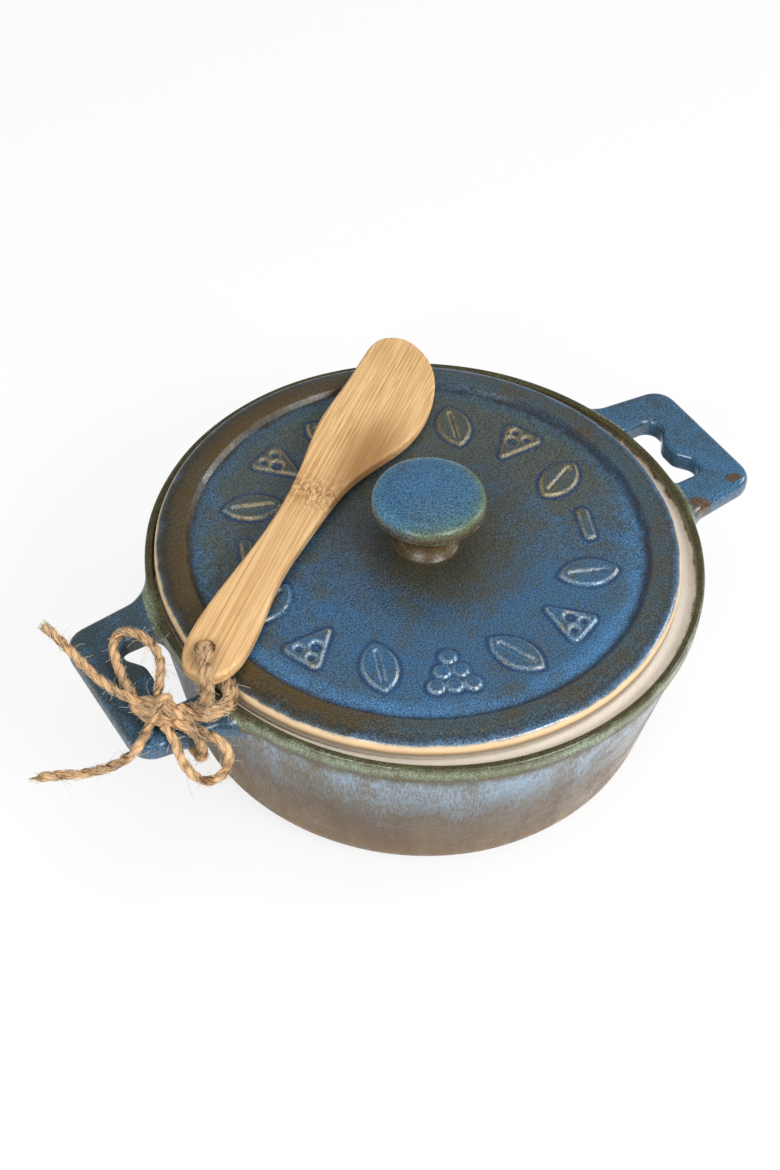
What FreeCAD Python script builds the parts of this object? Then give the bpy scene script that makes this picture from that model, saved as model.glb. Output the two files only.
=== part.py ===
import FreeCAD
import Part
import math
import os

from FreeCAD import Placement, Rotation, Vector

# Camembert baker, in millimetres. The origin is the centre of the dish's base, on the surface that
# it stands on, with +Z up and +X along the line through the two ears.

# Dish: a round bowl with a gallery for the lid
base_radius = 62.7          # where the straight wall line meets the surface
base_round = 8.0
wall_flare = 0.185          # growth of the radius for each millimetre of height
wall_thickness = 7.5
floor_thickness = 6.0
floor_round = 9.0
dish_height = 52.0
lip_height = 4.8
lip_overhang = 0.77         # how far the lip stands out over the wall
lip_width = 2.1
lip_overhang_height = 0.8
lip_round = 0.9
gallery_depth = 3.1
gallery_round = 0.7

# Ears: flat pierced handles, one at each end of the X axis
ear_projection = 23.0       # how far the ear stands out from the wall
ear_half_width = 21.0
ear_flare = 2.2             # how much wider the ear is beside the wall
ear_root_spread = 8.0
ear_root_run = 2.4          # how far from the wall the ear starts to widen
ear_corner = 6.5
ear_drop = 2.0              # how far the ear's top lies under the dish's
ear_thickness = 6.4
ear_edge_round = 2.4
window_half_length = 11.6
window_bar = 11.0           # width of the outer bar at the two lobes
window_corner = 3.3
window_root_corner = 4.5
window_edge_round = 1.8
window_root_sink = 1.4      # how far the window's inner side lies inside the wall
tongue_reach = 3.2          # how far the scallop's tongue stands into the window
tongue_half_tip = 2.6
tongue_half_root = 6.6
tongue_tip_round = 3.5
tongue_root_round = 2.2

# Lid: a disc with a raised border, carried in the gallery
lid_play = 2.2              # gap between a centred lid and the gallery's side
lid_shift_x = -1.1          # the lid lies a little back and to the left in its gallery
lid_shift_y = 1.75
lid_clearance = 0.3
lid_chamfer = 0.8
border_drop = 1.25          # how far the border falls from its crest to the lid's edge
lid_edge_round = 1.0
crest_height = 6.1          # top of the raised border over the gallery seat
border_slope_width = 4.4    # from the lid's edge in to the crest
crest_width = 3.4
crest_round = 3.0
border_step = 1.4           # from the crest in to the disc
disc_height = 4.5
disc_round = 0.9
lid_underside = 0.4         # how far the middle of the lid is thinned from below
ring_width = 3.5
ring_depth = 3.2
ring_round = 0.8

# Knob, in one piece with the lid; heights are over the disc
knob_shift_x = 1.5          # the knob stands a little to one side of the lid's middle
knob_shift_y = -1.0
knob_root = 2.0             # how deep the knob's foot is sunk into the lid
knob_radius = 14.6
knob_height = 18.8
knob_rim_low = 13.2
knob_rim_high = 16.3
knob_dome_inner = 5.0
knob_dome_shoulder = 9.5
knob_dome_drop = 0.6
neck_radius = 6.2
neck_low = 3.4
neck_high = 7.0
foot_bead_radius = 7.2
foot_bead_height = 1.7
foot_spread = 3.0           # how far out the foot's blend meets the disc
foot_flare = 1.3
foot_bead_round = 0.6
neck_low_round = 1.5
neck_high_round = 4.0
knob_under_slope = 1.0      # the cap's underside rises this much over the last stretch
knob_under_run = 1.6
knob_under_round = 1.0
knob_low_round = 1.2
knob_high_round = 2.2
knob_shoulder_round = 20.0
knob_dome_round = 18.0

# Raised ornaments in a ring on the disc
ornament_count = 16
ornament_inset = 14.3       # from the disc's edge in to the ring of ornaments
ornament_height = 0.8
ornament_root = 0.6         # how deep each raised figure is sunk into the disc
leaf_length = 15.6
leaf_width = 8.8
leaf_tilt = 24.0
leaf_rib_length = 10.4      # the midrib is a groove
leaf_rib_width = 0.9
leaf_rib_round = 0.4
slice_length = 13.4
slice_width = 11.8
slice_round = 1.4
# Holes in a slice of cheese: x, y and radius, as shares of the slice's length
eyes = [(0.075, 0.075, 0.127), (0.3, -0.15, 0.09), (0.33, 0.15, 0.09)]
berry_radius = 2.1
berry_pitch = 4.5
bar_length = 11.0
bar_width = 2.8
bar_round = 1.3
bar_spacing = 8             # every eighth ornament is a bar

# Spreader: a flat bamboo blade, lying on the lid's border with its butt over the left ear
spreader_thickness = 3.6
spreader_tip_thickness = 1.9
spreader_shortfall = 8.4    # how much shorter it is than the dish is wide
spreader_width = 29.4
bevel_start = 84.0
trim_margin = 10.0
spreader_edge_round = 0.9
spreader_heading = 38.8     # degrees from +X towards +Y
butt_offset_x = 12.9        # from the knot's centre to the butt
butt_offset_y = -1.2
rest_offset = 17.0          # how far to the right of its line the blade lies on the border
rest_gap = 0.05
hole_along = 7.5
hole_across = 4.4
hole_radius = 2.6

# Twine
twine_diameter = 2.4
tether_diameter = 2.8       # the doubled twine through the spreader's hole
twine_gap = 0.15
knot_length = 12.6
knot_radius = 4.0
knot_end_radius = 2.9
knot_round = 1.2
knot_heading = -45.0
knot_inset = 9.1            # from the ear's outer edge in to the knot's centre
knot_y = -15.0
bend_share = 0.45           # share of a run that a bend may take up


def outer_wall(height):
    return base_radius + wall_flare * height


def inner_wall(height):
    return outer_wall(height) - wall_thickness


# Heights and radii that follow
lip_bottom = dish_height - lip_height
lip_radius = outer_wall(lip_bottom) + lip_overhang
seat_height = dish_height - gallery_depth
seat_outer = lip_radius - lip_width
seat_inner = inner_wall(seat_height)
lid_radius = seat_outer - lid_play
crest_outer = lid_radius - border_slope_width
crest_inner = crest_outer - crest_width
disc_radius = crest_inner - border_step
ornament_ring = disc_radius - ornament_inset
crest_top = seat_height + crest_height
disc_top = seat_height + disc_height
lid_edge_top = crest_top - border_drop
ring_outer = inner_wall(seat_height - ring_depth) - lid_play - lid_clearance
ring_inner = ring_outer - ring_width
underside_top = seat_height - lid_underside
ear_top = dish_height - ear_drop
ear_bottom = ear_top - ear_thickness
ear_reach = outer_wall(ear_bottom) + ear_projection
ear_root_x = outer_wall(ear_bottom) + ear_root_run
spreader_length = 2 * lip_radius - spreader_shortfall
lid_axis = Vector(lid_shift_x, lid_shift_y, 0)
knot_centre = Vector(knot_inset - ear_reach, knot_y, ear_top + knot_radius + twine_gap)


def round_corner(before, corner, after, radius):
    """Start, middle and end of the arc that rounds a corner."""
    back = (before - corner).normalize()
    ahead = (after - corner).normalize()
    half = back.getAngle(ahead) / 2
    bisector = (back + ahead).normalize()
    run = radius / math.tan(half)
    middle = corner + bisector * (radius / math.sin(half) - radius)
    return corner + back * run, middle, corner + ahead * run


def rounded_wire(points, radii, closed=True):
    """Straight runs through the points, joined by tangent arcs where a radius is given."""
    count = len(points)
    stops = []
    for i in range(count):
        at_end = not closed and i in (0, count - 1)
        if radii[i] == 0 or at_end:
            stops.append((points[i], None, points[i]))
        else:
            stops.append(round_corner(points[i - 1], points[i], points[(i + 1) % count], radii[i]))
    edges = []
    for i, (start, middle, end) in enumerate(stops):
        if middle is not None:
            edges.append(Part.Arc(start, middle, end).toShape())
        following = stops[(i + 1) % count][0]
        last = i == count - 1
        if not (last and not closed) and end.distanceToPoint(following) > 1e-6:
            edges.append(Part.LineSegment(end, following).toShape())
    return Part.Wire(edges)


def turned(profile):
    """A solid turned about Z from corners given as radius, height and rounding."""
    points = [Vector(radius, 0, height) for radius, height, rounding in profile]
    radii = [rounding for radius, height, rounding in profile]
    face = Part.Face(rounded_wire(points, radii))
    return face.revolve(Vector(0, 0, 0), Vector(0, 0, 1), 360)


def plan_face(corners):
    """A flat face at height 0 from corners given as x, y and rounding."""
    points = [Vector(x, y, 0) for x, y, rounding in corners]
    return Part.Face(rounded_wire(points, [rounding for x, y, rounding in corners]))


def disc_face(x, y, radius):
    return Part.Face(Part.Wire(Part.makeCircle(radius, Vector(x, y, 0))))


def mirrored_corners(corners):
    """The corners, then the same ones on the other side of the X axis in turn."""
    return corners + [(x, -y, rounding) for x, y, rounding in reversed(corners)]


# Dish

def bowl():
    under_lip = lip_bottom - lip_overhang_height
    return turned([
        (0, 0, 0),
        (base_radius, 0, base_round),
        (outer_wall(under_lip), under_lip, lip_round),
        (lip_radius, lip_bottom, lip_round),
        (lip_radius, dish_height, lip_round),
        (seat_outer, dish_height, lip_round),
        (seat_outer, seat_height, gallery_round),
        (seat_inner, seat_height, gallery_round),
        (inner_wall(floor_thickness), floor_thickness, floor_round),
        (0, floor_thickness, 0),
    ])


def ear():
    """The ear on +X: a flat plate with a scalloped window, rounded all along its edges."""
    root_radius = outer_wall(ear_bottom) - wall_thickness / 2
    side_at_root = ear_half_width + ear_flare
    outline = plan_face(mirrored_corners([
        (root_radius - ear_root_spread, -side_at_root - ear_root_spread, 0),
        (ear_root_x, -side_at_root, ear_corner),
        (ear_reach, -ear_half_width, ear_corner),
    ]))
    lobe_x = ear_reach - window_bar
    window_root_x = outer_wall(ear_bottom) - window_root_sink
    window = plan_face(mirrored_corners([
        (window_root_x, -window_half_length, window_root_corner),
        (lobe_x, -window_half_length, window_corner),
        (lobe_x, -tongue_half_root, tongue_root_round),
        (lobe_x - tongue_reach, -tongue_half_tip, tongue_tip_round),
    ]))
    plate = outline.cut(disc_face(0, 0, root_radius)).extrude(Vector(0, 0, ear_thickness))
    plate.translate(Vector(0, 0, ear_bottom))
    plate = plate.makeFillet(ear_edge_round, level_edges(plate, root_radius))
    hole = window.extrude(Vector(0, 0, ear_thickness))
    hole.translate(Vector(0, 0, ear_bottom))
    pierced = plate.cut(hole)
    rounded = pierced.makeFillet(window_edge_round, window_edges(pierced, window_root_x))
    # The ear ends inside the wall and the lip, clear of the gallery
    root_trim = (seat_outer + outer_wall(ear_bottom)) / 2
    return rounded.cut(Part.makeCylinder(root_trim, dish_height))


def level_edges(plate, root_radius):
    """Edges of the plate's top and bottom outlines, without those at its root."""
    chosen = []
    for edge in plate.Edges:
        middle = edge.valueAt((edge.FirstParameter + edge.LastParameter) / 2)
        level = edge.BoundBox.ZLength < 1e-6
        at_root = abs(math.hypot(middle.x, middle.y) - root_radius) < 0.01
        if level and not at_root:
            chosen.append(edge)
    return chosen


def window_edges(plate, window_root_x):
    """Edges of the window's top and bottom outlines."""
    inset = 0.01
    lobe_x = ear_reach - window_bar
    chosen = []
    for edge in plate.Edges:
        box = edge.BoundBox
        level = box.ZLength < 1e-6
        inside_x = box.XMin > window_root_x - inset and box.XMax < lobe_x + inset
        inside_y = max(abs(box.YMin), abs(box.YMax)) < window_half_length + inset
        if level and inside_x and inside_y:
            chosen.append(edge)
    return chosen


def dish():
    right_ear = ear()
    left_ear = right_ear.copy()
    left_ear.rotate(Vector(0, 0, 0), Vector(0, 0, 1), 180)
    return bowl().fuse([right_ear, left_ear]).removeSplitter()


# Lid

def lid_body():
    chamfer_radius = lid_radius - lid_chamfer
    return turned([
        (0, underside_top, 0),
        (ring_inner, underside_top, ring_round),
        (ring_inner, seat_height - ring_depth, ring_round),
        (ring_outer, seat_height - ring_depth, ring_round),
        (ring_outer, seat_height, ring_round),
        (chamfer_radius, seat_height, 0),
        (lid_radius, seat_height + lid_chamfer, 0),
        (lid_radius, lid_edge_top, lid_edge_round),
        (crest_outer, crest_top, crest_round),
        (crest_inner, crest_top, disc_round),
        (disc_radius, disc_top, disc_round),
        (0, disc_top, 0),
    ])


def knob():
    dome_top = disc_top + knob_height
    shoulder = dome_top - knob_dome_drop
    rim_low = disc_top + knob_rim_low
    rim_high = disc_top + knob_rim_high
    return turned([
        (0, disc_top - knob_root, 0),
        (foot_bead_radius + foot_spread, disc_top - knob_root, 0),
        (foot_bead_radius + foot_spread, disc_top, 0),
        (foot_bead_radius + foot_flare, disc_top, foot_flare),
        (foot_bead_radius, disc_top + foot_bead_height, foot_bead_round),
        (neck_radius, disc_top + neck_low, neck_low_round),
        (neck_radius, disc_top + neck_high, neck_high_round),
        (knob_radius - knob_under_run, rim_low - knob_under_slope, knob_under_round),
        (knob_radius, rim_low, knob_low_round),
        (knob_radius, rim_high, knob_high_round),
        (knob_dome_shoulder, shoulder, knob_shoulder_round),
        (knob_dome_inner, dome_top, knob_dome_round),
        (0, dome_top, 0),
    ])


def rounded_bar(length, width, rounding):
    """A straight bar along the X axis, with rounded ends."""
    return plan_face([
        (-length / 2, -width / 2, rounding),
        (length / 2, -width / 2, rounding),
        (length / 2, width / 2, rounding),
        (-length / 2, width / 2, rounding),
    ])


def leaf_figure():
    """A pointed leaf from two arcs, with its midrib cut in as a groove."""
    tip = Vector(leaf_length / 2, 0, 0)
    foot = Vector(-leaf_length / 2, 0, 0)
    upper = Part.Arc(foot, Vector(0, leaf_width / 2, 0), tip).toShape()
    lower = Part.Arc(tip, Vector(0, -leaf_width / 2, 0), foot).toShape()
    rib = rounded_bar(leaf_rib_length, leaf_rib_width, leaf_rib_round)
    figure = Part.Face(Part.Wire([upper, lower])).cut(rib)
    figure.rotate(Vector(0, 0, 0), Vector(0, 0, 1), leaf_tilt)
    return figure


def slice_figure():
    """A slice cut from a round cheese, its point inwards, with three round eyes."""
    rind = slice_length / 2
    half = slice_width / 2
    figure = plan_face([(-rind, 0, slice_round / 2), (rind, -half, slice_round), (rind, half, slice_round)])
    for along, across, radius in eyes:
        figure = figure.cut(disc_face(along * slice_length, across * slice_length, radius * slice_length))
    return figure


def berry_figure():
    """A bunch of six round berries, point inwards."""
    figure = None
    for row in range(3):
        for place in range(row + 1):
            x = (row - 1) * berry_pitch
            y = (place - row / 2) * berry_pitch
            berry = disc_face(x, y, berry_radius)
            figure = berry if figure is None else figure.fuse(berry)
    return figure


def bar_figure():
    """A short raised bar along the ring."""
    figure = rounded_bar(bar_length, bar_width, bar_round)
    figure.rotate(Vector(0, 0, 0), Vector(0, 0, 1), 90)
    return figure


def ornaments():
    """Raised leaves, slices, berries and bars in turn round the disc."""
    order = [leaf_figure(), slice_figure(), leaf_figure(), berry_figure()]
    raised = []
    for i in range(ornament_count):
        figure = bar_figure() if (i + 1) % bar_spacing == 0 else order[i % 4]
        solid = figure.extrude(Vector(0, 0, ornament_root + ornament_height))
        solid.translate(Vector(ornament_ring, 0, disc_top - ornament_root))
        solid.rotate(Vector(0, 0, 0), Vector(0, 0, 1), 360 / ornament_count * i)
        raised.append(solid)
    return raised


def lid():
    shifted_knob = knob()
    shifted_knob.translate(Vector(knob_shift_x, knob_shift_y, 0))
    whole = lid_body().fuse([shifted_knob, *ornaments()]).removeSplitter()
    whole.translate(lid_axis)
    return whole


# Spreader

butt = Vector(knot_centre.x + butt_offset_x, knot_centre.y + butt_offset_y, 0)
turn = Rotation(Vector(0, 0, 1), spreader_heading)


def rest_distance():
    """From the butt to where the blade lies on the crest of the border."""
    axis_from_butt = turn.inverted().multVec(lid_axis - butt)
    beside = axis_from_butt.y + rest_offset
    crest_middle = (crest_outer + crest_inner) / 2
    return axis_from_butt.x + math.sqrt(crest_middle ** 2 - beside ** 2)


def blade_outline():
    # Shares of the length from the butt, and of the width to the left of the spreader's line
    sides = [
        (-0.0066, 0.1088), (0.0066, 0.2449), (0.0338, 0.3061), (0.1000, 0.3333), (0.2206, 0.2823),
        (0.3529, 0.2041), (0.4706, 0.1800), (0.5882, 0.2150), (0.7059, 0.2580), (0.8235, 0.2200),
        (0.9310, 0.2020), (0.9870, 0.1320), (1.0050, -0.0300), (0.9920, -0.2200), (0.9430, -0.4450),
        (0.8690, -0.5880), (0.7880, -0.6370), (0.7059, -0.5920), (0.6250, -0.4370), (0.5515, -0.2930),
        (0.4706, -0.2211), (0.3676, -0.1667), (0.2647, -0.1361), (0.1618, -0.1701), (0.0882, -0.1837),
        (0.0309, -0.1429), (0.0000, -0.0408),
    ]
    curve = Part.BSplineCurve()
    points = [Vector(along * spreader_length, left * spreader_width, 0) for along, left in sides]
    curve.interpolate(points, PeriodicFlag=True)
    return Part.Face(Part.Wire(curve.toShape()))


def spreader():
    blank = blade_outline().extrude(Vector(0, 0, spreader_thickness))
    reach = spreader_length + trim_margin
    bevel = (spreader_thickness - spreader_tip_thickness) / (spreader_length - bevel_start)
    end_thickness = spreader_tip_thickness - bevel * trim_margin
    side = Part.makePolygon([
        Vector(-trim_margin, -spreader_width, 0),
        Vector(reach, -spreader_width, 0),
        Vector(reach, -spreader_width, end_thickness),
        Vector(bevel_start, -spreader_width, spreader_thickness),
        Vector(-trim_margin, -spreader_width, spreader_thickness),
        Vector(-trim_margin, -spreader_width, 0),
    ])
    shaped = blank.common(Part.Face(side).extrude(Vector(0, 2 * spreader_width, 0)))
    rims = [edge for edge in shaped.Edges if edge.Length > spreader_width]
    shaped = shaped.makeFillet(spreader_edge_round, rims)
    hole_foot = Vector(hole_along, hole_across, -spreader_thickness)
    shaped = shaped.cut(Part.makeCylinder(hole_radius, 3 * spreader_thickness, hole_foot))
    butt_height = lid_edge_top + tether_diameter + 2 * twine_gap
    drop = butt_height - crest_top - rest_gap
    tilt = Rotation(Vector(0, 1, 0), math.degrees(math.atan2(drop, rest_distance())))
    shaped.Placement = Placement(butt + Vector(0, 0, butt_height), turn * tilt)
    return shaped


# Twine

# Each stretch is a list of points that its line bends round, measured from the knot's centre
routes = {
    "twine_tether": [
        (3.3, -2.9, 1.4), (5.4, -7.0, 1.2), (9.9, -8.0, 0.8), (14.4, -7.4, 0.6), (17.3, -4.8, 1.0),
        (17.0, 0.5, 1.1), (16.0, 6.9, 1.1), (16.0, 6.9, 8.2), (13.3, 1.4, 8.4), (10.7, -3.4, 7.8),
        (10.5, -4.0, 2.5), (9.5, -4.0, -0.9), (6.2, -3.0, -1.2), (3.8, -1.6, -1.3),
    ],
    "twine_hitch": [
        (3.1, -3.9, -2.7), (4.4, -7.4, -2.7), (5.2, -10.6, -3.1), (5.5, -11.0, -8.2),
        (5.6, -9.4, -12.2), (5.5, -3.0, -12.8), (5.3, 4.4, -12.2), (4.8, 5.7, -7.8), (3.8, 5.2, -3.0),
        (2.0, 1.8, -2.0),
    ],
    "twine_loop_upper": [
        (0.8, 2.6, 0.4), (3.0, 6.0, 0.6), (6.2, 10.6, 1.4), (7.4, 15.6, 2.2), (5.9, 21.3, 2.7),
        (2.8, 25.0, 2.2), (-0.6, 23.8, 0.8), (-2.1, 18.3, -1.0), (-2.9, 11.5, -2.3), (-2.6, 4.6, -2.2),
    ],
    "twine_loop_lower": [
        (-0.8, -3.4, -1.8), (-0.4, -7.4, -2.0), (-0.6, -11.0, -5.8), (0.4, -14.6, -9.4),
        (3.7, -17.7, -10.8), (8.1, -17.4, -9.8), (10.2, -15.6, -6.2), (8.6, -13.6, -2.2),
        (5.6, -10.6, -0.2), (1.6, -5.2, -0.4),
    ],
    "twine_end_upper": [
        (-3.2, 3.2, 0.6), (-6.4, 8.8, 0.9), (-9.2, 15.6, 1.8), (-10.6, 22.4, 2.8), (-12.0, 28.0, 4.0),
        (-13.7, 32.7, 5.2),
    ],
    "twine_end_lower": [
        (-2.8, -0.8, -1.4), (-6.4, -4.6, -1.7), (-11.5, -6.8, -3.0), (-16.4, -5.2, -6.0),
        (-21.9, -1.2, -9.0), (-26.5, 2.5, -10.6), (-31.3, 5.2, -11.8),
    ],
}


def twine_wire(points):
    """The stretch's line: its runs joined by arcs as large as the runs allow."""
    radii = [0] * len(points)
    for i in range(1, len(points) - 1):
        back = points[i - 1] - points[i]
        ahead = points[i + 1] - points[i]
        half_turn = (math.pi - back.getAngle(ahead)) / 2
        radii[i] = bend_share * min(back.Length, ahead.Length) / math.tan(half_turn)
    return rounded_wire(points, radii, closed=False), radii[1:-1]


def twine_tube(name, diameter):
    points = [knot_centre + Vector(*point) for point in routes[name]]
    path, radii = twine_wire(points)
    start = (points[1] - points[0]).normalize()
    section = Part.Wire(Part.makeCircle(diameter / 2, points[0], start))
    tube = path.makePipeShell([section], True, False)
    expected = math.pi * diameter ** 2 / 4 * path.Length
    print(name, "length", round(path.Length, 1), "volume ratio", round(tube.Volume / expected, 4))
    print("  smallest radii", [round(radius, 1) for radius in sorted(radii)[:4]])
    return tube


def twine_knot(tubes):
    """The tied lump, a lying barrel with a seat for each strand that goes into it."""
    lump = turned([
        (0, -knot_length / 2, 0),
        (knot_end_radius, -knot_length / 2, knot_round),
        (knot_radius, 0, knot_length),
        (knot_end_radius, knot_length / 2, knot_round),
        (0, knot_length / 2, 0),
    ])
    lying = Rotation(Vector(0, 1, 0), 90)
    lump.Placement = Placement(knot_centre, Rotation(Vector(0, 0, 1), knot_heading) * lying)
    for tube in tubes:
        lump = lump.cut(tube)
    return lump


def twine():
    pieces = {}
    for name in routes:
        diameter = tether_diameter if name == "twine_tether" else twine_diameter
        pieces[name] = twine_tube(name, diameter)
    pieces["twine_knot"] = twine_knot(list(pieces.values()))
    return pieces


parts = {"dish": dish(), "lid": lid(), "spreader": spreader()}
parts.update(twine())
os.makedirs("parts", exist_ok=True)
for name, shape in parts.items():
    shape.exportStep("parts/" + name + ".step")
    print(name, "solids", len(shape.Solids), "valid", shape.isValid(), "volume", round(shape.Volume))
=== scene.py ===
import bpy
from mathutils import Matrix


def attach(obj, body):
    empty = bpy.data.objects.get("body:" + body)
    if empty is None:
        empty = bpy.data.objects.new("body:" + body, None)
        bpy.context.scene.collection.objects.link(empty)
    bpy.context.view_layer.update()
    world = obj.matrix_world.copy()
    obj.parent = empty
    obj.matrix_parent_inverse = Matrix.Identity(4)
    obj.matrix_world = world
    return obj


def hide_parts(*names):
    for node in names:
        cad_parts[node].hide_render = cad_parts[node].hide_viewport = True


bl_info = {
    "name": "Camembert baker",
    "version": (1, 0, 0),
    "blender": (4, 5, 0),
    "location": "3D View > Sidebar > Camembert baker",
    "description": "Builds a glazed stoneware camembert baker with its bamboo spreader and jute bow",
    "category": "Add Mesh",
}

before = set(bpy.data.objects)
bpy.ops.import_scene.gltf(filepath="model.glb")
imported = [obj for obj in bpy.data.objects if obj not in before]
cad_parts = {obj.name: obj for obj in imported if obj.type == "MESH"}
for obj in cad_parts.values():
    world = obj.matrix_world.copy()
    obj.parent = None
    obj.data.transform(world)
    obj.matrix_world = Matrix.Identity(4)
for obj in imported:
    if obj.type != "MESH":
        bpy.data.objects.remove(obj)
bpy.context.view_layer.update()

import math

import bpy
import numpy as np
from mathutils import Matrix, Vector

MM = 0.001


def linear(code):
    """The linear colour of an sRGB hex value."""
    values = [int(code[i:i + 2], 16) / 255 for i in (1, 3, 5)]
    return [v / 12.92 if v <= 0.04045 else ((v + 0.055) / 1.055) ** 2.4 for v in values]


# Sizes in millimetres, as in the part's source

BASE_RADIUS = 62.7
WALL_FLARE = 0.185
WALL_THICKNESS = 7.5
FLOOR_THICKNESS = 6.0
DISH_HEIGHT = 52.0
LIP_BOTTOM = 47.2
LIP_OVERHANG = 0.77
LIP_OVERHANG_HEIGHT = 0.8
LIP_WIDTH = 2.1
SEAT_HEIGHT = 48.9
EAR_TOP = 50.0
EAR_BOTTOM = 43.6
EAR_PROJECTION = 23.0
EAR_EDGE_ROUND = 2.4
WINDOW_BAR = 11.0
WINDOW_EDGE_ROUND = 1.8
WINDOW_ROOT_SINK = 1.4
TONGUE_REACH = 3.2
LID_PLAY = 2.2
LID_CHAMFER = 0.8
LID_EDGE_TOP = 53.75
LID_SHIFT = np.array((-1.1, 1.75))
BORDER_SLOPE_WIDTH = 4.4
CREST_WIDTH = 3.4
CREST_TOP = 55.0
BORDER_STEP = 1.4
DISC_TOP = 53.4
UNDERSIDE = 48.5
RING_INNER = 57.65
RING_OUTER = 61.15
RING_BOTTOM = 45.7
KNOB_SHIFT = np.array((1.5, -1.0))
ORNAMENT_COUNT = 16
ORNAMENT_INSET = 14.3
ORNAMENT_HEIGHT = 0.8
SPREADER_HEADING = 38.8
BUTT_OFFSET = (12.9, -1.2)
KNOT_INSET = 9.1
KNOT_Y = -15.0
KNOT_RISE = 4.15
KNOT_HEADING = -45.0


def outer_wall(height):
    return BASE_RADIUS + WALL_FLARE * height


LIP_RADIUS = outer_wall(LIP_BOTTOM) + LIP_OVERHANG
SEAT_OUTER = LIP_RADIUS - LIP_WIDTH
EAR_ROOT = outer_wall(EAR_BOTTOM)
EAR_REACH = EAR_ROOT + EAR_PROJECTION
LID_RADIUS = SEAT_OUTER - LID_PLAY
CREST_OUTER = LID_RADIUS - BORDER_SLOPE_WIDTH
CREST_INNER = CREST_OUTER - CREST_WIDTH
DISC_RADIUS = CREST_INNER - BORDER_STEP
ORNAMENT_RING = DISC_RADIUS - ORNAMENT_INSET
KNOT_X = KNOT_INSET - EAR_REACH
KNOT_CENTRE = np.array((KNOT_X, KNOT_Y, EAR_TOP + KNOT_RISE)) * MM

# The twine's stretches, as control points in metres from the knot's centre
ROUTES = {
    "twine_tether": [
        (0.0033, -0.0029, 0.0014), (0.0054, -0.0070, 0.0012), (0.0099, -0.0080, 0.0008),
        (0.0144, -0.0074, 0.0006), (0.0173, -0.0048, 0.0010), (0.0170, 0.0005, 0.0011),
        (0.0160, 0.0069, 0.0011), (0.0160, 0.0069, 0.0082), (0.0133, 0.0014, 0.0084),
        (0.0107, -0.0034, 0.0078), (0.0105, -0.0040, 0.0025), (0.0095, -0.0040, -0.0009),
        (0.0062, -0.0030, -0.0012), (0.0038, -0.0016, -0.0013),
    ],
    "twine_hitch": [
        (0.0031, -0.0039, -0.0027), (0.0044, -0.0074, -0.0027), (0.0052, -0.0106, -0.0031),
        (0.0055, -0.0110, -0.0082), (0.0056, -0.0094, -0.0122), (0.0055, -0.0030, -0.0128),
        (0.0053, 0.0044, -0.0122), (0.0048, 0.0057, -0.0078), (0.0038, 0.0052, -0.0030),
        (0.0020, 0.0018, -0.0020),
    ],
    "twine_loop_upper": [
        (0.0008, 0.0026, 0.0004), (0.0030, 0.0060, 0.0006), (0.0062, 0.0106, 0.0014),
        (0.0074, 0.0156, 0.0022), (0.0059, 0.0213, 0.0027), (0.0028, 0.0250, 0.0022),
        (-0.0006, 0.0238, 0.0008), (-0.0021, 0.0183, -0.0010), (-0.0029, 0.0115, -0.0023),
        (-0.0026, 0.0046, -0.0022),
    ],
    "twine_loop_lower": [
        (-0.0008, -0.0034, -0.0018), (-0.0004, -0.0074, -0.0020), (-0.0006, -0.0110, -0.0058),
        (0.0004, -0.0146, -0.0094), (0.0037, -0.0177, -0.0108), (0.0081, -0.0174, -0.0098),
        (0.0102, -0.0156, -0.0062), (0.0086, -0.0136, -0.0022), (0.0056, -0.0106, -0.0002),
        (0.0016, -0.0052, -0.0004),
    ],
    "twine_end_upper": [
        (-0.0032, 0.0032, 0.0006), (-0.0064, 0.0088, 0.0009), (-0.0092, 0.0156, 0.0018),
        (-0.0106, 0.0224, 0.0028), (-0.0120, 0.0280, 0.0040), (-0.0137, 0.0327, 0.0052),
    ],
    "twine_end_lower": [
        (-0.0028, -0.0008, -0.0014), (-0.0064, -0.0046, -0.0017), (-0.0115, -0.0068, -0.0030),
        (-0.0164, -0.0052, -0.0060), (-0.0219, -0.0012, -0.0090), (-0.0265, 0.0025, -0.0106),
        (-0.0313, 0.0052, -0.0118),
    ],
}

# Twine, in metres
TWINE_DIAMETER = 0.0024
TETHER_DIAMETER = 0.0028
TETHER_STRAND = 0.0018
TETHER_HALF_GAP = 0.00072
TWINE_STEP = 0.00032

# Camera, in metres and degrees
CAMERA_PLACE = (-0.20168, -0.27700, 0.41011)
CAMERA_BACK = (-0.3838, -0.5562, 0.7371)
CAMERA_HEADING = math.radians(-34.61)
CAMERA_ROLL = math.radians(3.4)

# Each lamp's place, width and power; its height is a share of its width
LAMPS = {
    "left_softbox": ((-0.72, -0.47, 0.59), 0.46, 4.0),
    "front_softbox": ((0.22, -0.82, 0.72), 0.48, 7.0),
    "right_softbox": ((0.95, -0.25, 0.45), 0.40, 3.0),
    "top_softbox": ((0.05, -0.10, 1.10), 0.80, 4.6),
}
LAMP_HEIGHT_SHARE = 0.8
LAMP_TARGET = Vector((0, 0, 0.04))


# Settings that a user would change

class TwineSettings(bpy.types.PropertyGroup):
    twist: bpy.props.FloatProperty(
        name="Twist", description="Length of one whole turn of the two plies",
        default=0.0072, unit="LENGTH")
    hairs: bpy.props.IntProperty(
        name="Hairs", description="How many loose fibres stand off the twine",
        default=420, min=0)
    light: bpy.props.FloatVectorProperty(
        name="Light fibre", description="Colour of the palest jute",
        default=linear("#dab183"), subtype="COLOR")
    dark: bpy.props.FloatVectorProperty(
        name="Dark fibre", description="Colour between the fibres",
        default=linear("#5f3f20"), subtype="COLOR")


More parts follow.
